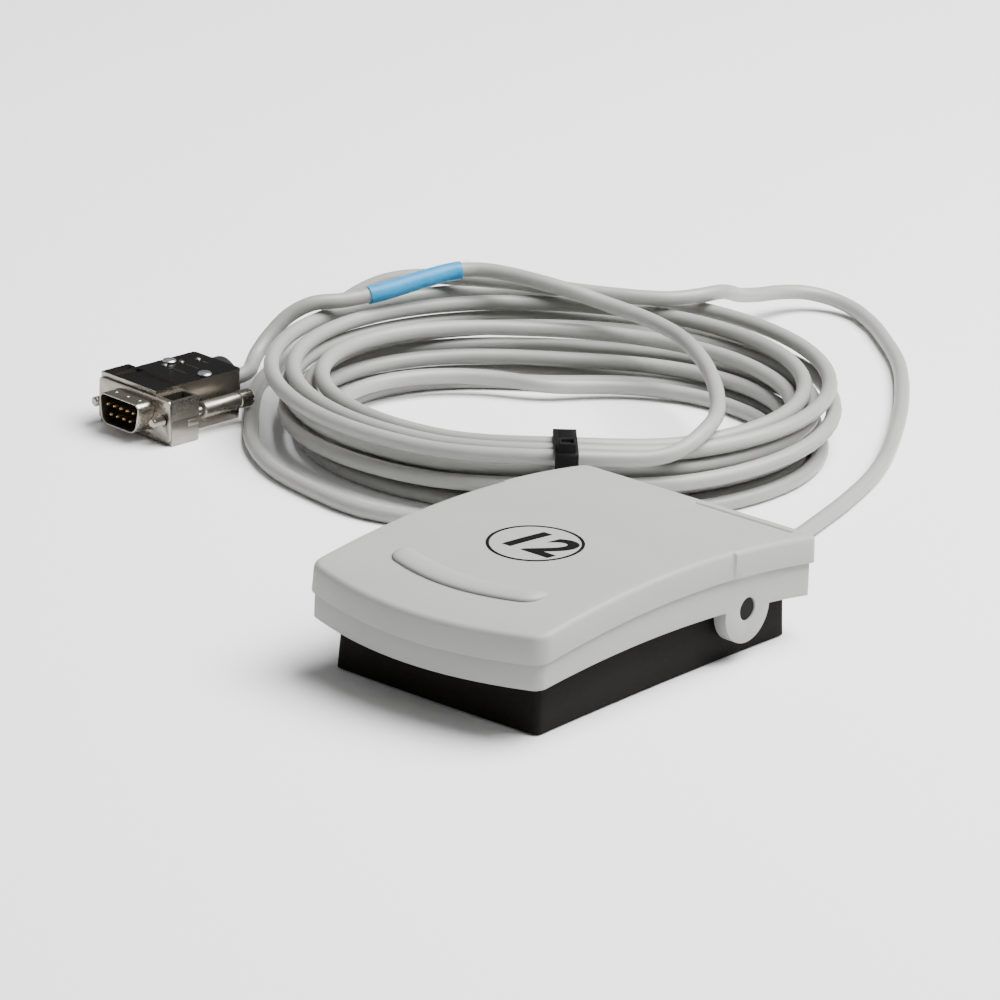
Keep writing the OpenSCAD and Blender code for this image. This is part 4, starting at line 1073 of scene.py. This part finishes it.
class FOOTSWITCH_OT_hinge_caps(bpy.types.Operator):
    """Turns the two black caps on the shaft's ends"""
    bl_idname = "footswitch.hinge_caps"
    bl_label = "Hinge caps"

    def execute(self, context):
        profile = [(0, 37.45), (2.03, 37.45), (2.03, 34.35), (2.6, 34.35), (3.2, 34.7),
            (3.2, 38.3), (3.0, 38.5), (1.5, 38.58), (0, 38.6)]
        left, right = (turned("hinge_cap", profile, (0, HINGE_Y, HINGE_Z), (side, 0, 0), 40)
            for side in (-1, 1))
        join(left, right)
        finish_piece(left, "housing", "black_plastic", "pivot_caps", angle=40)
        return {"FINISHED"}


class FOOTSWITCH_OT_spring(bpy.types.Operator):
    """Winds the return spring between the base and the deck"""
    bl_idname = "footswitch.spring"
    bl_label = "Return spring"

    def execute(self, context):
        low, high = (Vector(corner) * 1000 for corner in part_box("return_spring"))
        turns, steps, radius, wire = 6, 144, 4.5, 0.5
        start = Vector((0, SPRING_Y, low.z + wire))
        rise = high.z - low.z - 2 * wire
        run = []
        for k in range(steps + 1):
            turn = math.tau * turns * k / steps
            run.append(start + Vector((radius * math.cos(turn), radius * math.sin(turn),
                rise * k / steps)))
        spring = drawn_mesh("return_spring_wound", run, wire, 3)
        finish_piece(spring, "housing", "bright_steel", "return_spring")
        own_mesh(spring)
        return {"FINISHED"}


class FOOTSWITCH_OT_gland(bpy.types.Operator):
    """Turns the ribbed rubber gland where the cable leaves the base"""
    bl_idname = "footswitch.gland"
    bl_label = "Gland"

    def execute(self, context):
        profile = [(2.33, 51.4), (3.5, 51.4), (3.5, 52.6), (3.0, 52.6), (3.0, 55.8),
            (3.8, 55.8), (3.8, 57.2)]
        for k in range(5):
            y, r = 58.0 + 2.6 * k, 3.7 - 0.16 * k
            profile += [(r, y), (r - 0.75, y + 0.25), (r - 0.75, y + 1.1),
                (r - 0.1, y + 1.35)]
        profile += [(2.95, 71.3), (2.75, 71.65), (2.33, 71.65), (2.33, 51.4)]
        gland = turned("ribbed_gland", profile, (0, 0, CABLE_Z), (0, 1, 0), 40)
        soften(gland, 0.08)
        finish_piece(gland, "housing", "black_rubber", "cable_gland", angle=40)
        return {"FINISHED"}


# Plug, modelled in its own frame: X across the flange, Y back along the hood

def seat_plug(piece, *args):
    """Moves a piece from the plug's own frame to where the plug lies."""
    piece.matrix_world = (Matrix.Translation(mm(PLUG_X, PLUG_Y, 0))
        @ Matrix.Rotation(math.radians(PLUG_YAW), 4, "Z"))
    finish_piece(piece, *args)


def lock_holes(length, sides):
    """Cutters for the two holes that the thumbscrews go through."""
    return [add_rod("lock_hole", (x, -1, PLUG_Z), (0, 1, 0), length, 1.6, sides)
        for x in (LOCK_X, -LOCK_X)]


class FOOTSWITCH_OT_plug_shell(bpy.types.Operator):
    """Forms the plug's flange and its D-shaped shell"""
    bl_idname = "footswitch.plug_shell"
    bl_label = "Plug shell"

    def execute(self, context):
        flange = add_box("plug_flange", (-15.4, 0, 1.35), (15.4, 0.8, 13.85))
        edit(flange)
        round_off(spans(1, 0.5), 1.2, 4)
        done()
        cut(flange, self.d_bar("window", 0.5, -2, 3), *lock_holes(3, 40))
        shell = self.d_bar("d_shell", 0, -6, 0.4)
        edit(shell)
        drop_faces(lambda f: abs(f.normal.y) > 0.9)
        done()
        wall_in(shell, 0.5)
        soften(shell, 0.2, 3)
        place = mm(0, -2.6, PLUG_Z + 4.62)
        deselect()
        bpy.ops.mesh.primitive_uv_sphere_add(segments=20, ring_count=10, radius=0.0007,
            location=place)
        dimple = settle(bpy.context.object)
        edit(dimple)
        pick_all()
        bpy.ops.transform.resize(value=(1, 1.2, 0.4), center_override=place)
        done()
        join(flange, shell, dimple, *copies(dimple, (-5, 0, 0), (5, 0, 0),
            (-4, 0, -9.24), (4, 0, -9.24)))
        soften(flange, 0.1)
        seat_plug(flange, "housing", "nickel_plate", "dsub_shell")
        return {"FINISHED"}

    def d_bar(self, name, margin, y0, y1):
        """Bar with a D-shaped section, narrower at its foot."""
        half_w, half_h, lean = 8.95, 4.7, 10
        bar = add_box(name, (-half_w + margin, y0, PLUG_Z - half_h + margin),
            (half_w - margin, y1, PLUG_Z + half_h - margin))
        edit(bar)
        pick("VERT", lambda v: v.co.z * 1000 < PLUG_Z)
        narrower = 1 - 2 * half_h * math.tan(math.radians(lean)) / half_w
        bpy.ops.transform.resize(value=(narrower, 1, 1), center_override=mm(0, 0, PLUG_Z))
        round_off(spans(1, 0.5), 2.6 - margin, 8)
        done()
        return bar


class FOOTSWITCH_OT_plug_hood(bpy.types.Operator):
    """Forms the plug's metal hood with its bracket, slots and collar"""
    bl_idname = "footswitch.plug_hood"
    bl_label = "Plug hood"

    def execute(self, context):
        upper = self.half("hood_top_half", PLUG_Z, HOOD_TOP, 13.6, PLUG_Z)
        cut(upper, add_box("inside", (-8.6, -1, PLUG_Z - 1), (7.0, 33.3, 14)),
            add_box("ear_pocket", (9.4, 2.1, PLUG_Z - 1), (14.2, 10.4, 15)),
            add_box("panel", (-11.2, 2.0, 14.5), (7.2, 11.0, 16)),
            add_box("notch", (-13.9, 2.4, 14.2), (-12.2, 10.2, 16)))
        for x, y, run in ((-7.9, 18.8, 9.6), (-6.9, 24.5, 7.6), (-5.7, 30.0, 4.6)):
            cut(upper, add_box("slot", (x + 0.8, y - 0.35, 14.95), (x + run, y + 0.35, 16)))
            join(upper, turned("slot_rivet", [(0, 15.75), (0.5, 15.7), (0.85, 15.45),
                (0.95, 15.0), (0, 15.0)], (x, y, 0), (0, 0, 1), 20))
        # The hood's large top faces get a painted dark reflection
        self.tone(upper)
        soften(upper, 0.22, 2, 55)
        seat_plug(upper, "housing", "nickel_plate", "hood_upper")
        lower = self.half("hood_foot_half", 0, PLUG_Z - 0.1, PLUG_Z - 0.1, 0.2)
        cut(lower, add_box("inside", (-8.6, -1, 1.2), (7.0, 33.3, PLUG_Z + 1)))
        join(lower, add_box("clip", (14.9, 7.2, 5.0), (15.55, 11.3, 6.8)))
        soften(lower, 0.22, 2, 55)
        seat_plug(lower, "housing", "nickel_plate", "hood_lower")
        self.screws()
        collar = turned("plug_collar", [(0, 33.4), (3.35, 33.4), (3.35, 34.6), (6.9, 34.6),
            (7.4, 35.0), (7.4, 38.1), (6.9, 38.5), (4.4, 38.6), (3.9, 39.4), (2.9, 40.4),
            (0, 40.45)], (PLUG_CABLE_X, 0, PLUG_Z), (0, 1, 0), 48)
        seat_plug(collar, "housing", "black_rubber", "plug_grommet")
        return {"FINISHED"}

    def half(self, name, z0, z1, ear_top, ear_foot):
        """One half of the hood, with its ears and the ways for the screws and the cable."""
        body = add_box(name, (-12.2, 0.9, z0), (8.2, 34.5, z1))
        edit(body)
        round_off(lambda e: is_upright(e) and e.verts[0].co.y > 0.03, 1, 3)
        done()
        fuse(body, add_box("left_shoulder", (-15.5, 0.9, z0), (-11.0, 11.4, z1)))
        fuse(body, add_box("right_ear", (7.0, 0.9, max(z0, ear_foot)), (15.4, 11.4, ear_top)))
        return cut(body, *lock_holes(14, 32),
            add_box("barrel_pocket", (-16, 11.4, PLUG_Z - 2.95), (-9.65, 36, PLUG_Z + 2.95)),
            add_rod("cable_way", (PLUG_CABLE_X, 32, PLUG_Z), (0, 1, 0), 5, 3.5, 32))

    def tone(self, half):
        """Bright plate on the sides; dark glossy plate, a painted reflection, on the large
        faces that look up.
        """
        half.data.materials.append(FINISHES["nickel_plate"])
        half.data.materials.append(FINISHES["dark_nickel"])
        edit(half)
        # Faces that look up get the dark plate, a painted reflection
        pick("FACE", lambda f: f.normal.z > 0.9 and f.calc_center_median().z > 0.0142
            and f.calc_area() > 7e-6)
        bpy.context.object.active_material_index = 1
        bpy.ops.object.material_slot_assign()
        done()

    def screws(self):
        """Two cross-headed screws that hold the halves together."""
        x, y = -9.5, 22
        screw = turned("hood_screw", [(0, 12.2), (1.3, 12.2), (1.3, 15.25), (2.1, 15.25),
            (2.1, 15.6), (1.8, 15.95), (0.9, 16.12), (0, 16.15)], (x, y, 0), (0, 0, 1))
        for turn in (0.6, 0.6 + math.pi / 2):
            slot = add_box("slot", (-1.4, -0.33, 15.5), (1.4, 0.33, 17))
            slot.matrix_world = (Matrix.Translation(mm(x, y, 0))
                @ Matrix.Rotation(turn, 4, "Z"))
            cut(screw, settle(slot))
        join(screw, *copies(screw, (15.4, 0, 0)))
        soften(screw, 0.06)
        seat_plug(screw, "housing", "bright_steel", "hood_screws")


class FOOTSWITCH_OT_thumbscrews(bpy.types.Operator):
    """Turns the two long thumbscrews"""
    bl_idname = "footswitch.thumbscrews"
    bl_label = "Thumbscrews"

    def execute(self, context):
        profile = [(0, -4.5), (1.0, -4.5), (1.42, -4.1)]
        profile += [(1.42 - 0.22 * (k % 2), -3.9 + 0.2 * k) for k in range(19)]
        profile += [(1.3, 0), (1.3, 14.5), (1.9, 14.6), (2.45, 15.1), (2.45, 28.2),
            (2.25, 28.4), (2.25, 28.9), (2.6, 29.1), (2.6, 33.6), (2.3, 34.0), (0, 34.1)]
        right = turned("thumbscrew_right_turned", profile, (LOCK_X, 0, PLUG_Z), (0, 1, 0), 48)
        cut(right, add_box("driver_slot", (LOCK_X - 3, 33.1, PLUG_Z - 0.4),
            (LOCK_X + 3, 36, PLUG_Z + 0.4)))
        edit(right)
        pick("FACE", lambda f: 0.0295 < f.calc_center_median().y < 0.0334
            and abs(f.normal.y) < 0.3 and self.every_other(f))
        inset_by(0.04, depth=-0.18, use_individual=True)
        done()
        left, = copies(right, (-2 * LOCK_X, 0, 0))
        left.name = "thumbscrew_left_turned"
        for screw, name in ((right, "right"), (left, "left")):
            seat_plug(screw, name + "_thumbscrew", "nickel_plate", "thumbscrew_" + name)
        return {"FINISHED"}

    def every_other(self, face):
        """Picks every other face round the grip, for its knurl."""
        place = face.calc_center_median() * 1000
        turn = math.atan2(place.z - PLUG_Z, place.x - LOCK_X)
        return int((turn + math.pi) / math.tau * 48) % 2 == 0


class FOOTSWITCH_OT_inner_parts(bpy.types.Operator):
    """Gives the frame's own parts the finish of their slot"""
    bl_idname = "footswitch.inner_parts"
    bl_label = "Inner parts"

    def execute(self, context):
        for part in frame["record"]["subparts"]:
            materials = frame["nodes"][part["node"]].data.materials
            materials.clear()
            materials.append(FINISHES[part["material_slot"]])
        return {"FINISHED"}


OPERATORS = (FOOTSWITCH_OT_stage, FOOTSWITCH_OT_cable, FOOTSWITCH_OT_cable_tie,
    FOOTSWITCH_OT_cover, FOOTSWITCH_OT_lid_print, FOOTSWITCH_OT_lid_band,
    FOOTSWITCH_OT_base, FOOTSWITCH_OT_hinge_caps, FOOTSWITCH_OT_spring,
    FOOTSWITCH_OT_gland, FOOTSWITCH_OT_plug_shell, FOOTSWITCH_OT_plug_hood,
    FOOTSWITCH_OT_thumbscrews, FOOTSWITCH_OT_inner_parts)


class FOOTSWITCH_PT_panel(bpy.types.Panel):
    bl_label = "Foot Switch"
    bl_idname = "FOOTSWITCH_PT_panel"
    bl_space_type = "VIEW_3D"
    bl_region_type = "UI"
    bl_category = "Foot Switch"

    def draw(self, context):
        layout = self.layout
        for group in (context.scene.footswitch_sizes, context.scene.footswitch_colors):
            for name in group.__annotations__:
                layout.prop(group, name)
        for operator in OPERATORS:
            layout.operator(operator.bl_idname)


CLASSES = (FootSwitchSizes, FootSwitchColors) + OPERATORS + (FOOTSWITCH_PT_panel,)


def register():
    for cls in CLASSES:
        bpy.utils.register_class(cls)
    bpy.types.Scene.footswitch_sizes = bpy.props.PointerProperty(type=FootSwitchSizes)
    bpy.types.Scene.footswitch_colors = bpy.props.PointerProperty(type=FootSwitchColors)


def unregister():
    del bpy.types.Scene.footswitch_colors
    del bpy.types.Scene.footswitch_sizes
    for cls in reversed(CLASSES):
        bpy.utils.unregister_class(cls)


def declare_cable():
    """Gathers what the cable carries and works out the cable's length, once those pieces are
    made.
    """
    lead, tail = cable_runs()
    carried = [bpy.data.objects[name] for name in ("marker_label_wrap", "clear_label_sleeve",
        "coil_tie", "plug_flange", "hood_top_half", "hood_foot_half", "hood_screw",
        "plug_collar", "thumbscrew_right_turned", "thumbscrew_left_turned")]
    carried += [frame["nodes"]["dsub_insert"], frame["nodes"]["dsub_pins"]]
    round(run_length(lead + tail) / 1000, 3)


def main():
    register()
    make_finishes(bpy.context.scene.footswitch_colors)
    bpy.ops.footswitch.stage()
    bpy.ops.footswitch.cable()
    bpy.ops.footswitch.cable_tie()
    bpy.ops.footswitch.cover()
    bpy.ops.footswitch.lid_print()
    bpy.ops.footswitch.lid_band()
    bpy.ops.footswitch.base()
    bpy.ops.footswitch.hinge_caps()
    bpy.ops.footswitch.spring()
    bpy.ops.footswitch.gland()
    bpy.ops.footswitch.plug_shell()
    bpy.ops.footswitch.plug_hood()
    bpy.ops.footswitch.thumbscrews()
    bpy.ops.footswitch.inner_parts()
    declare_cable()


if __name__ == "__main__":
    main()
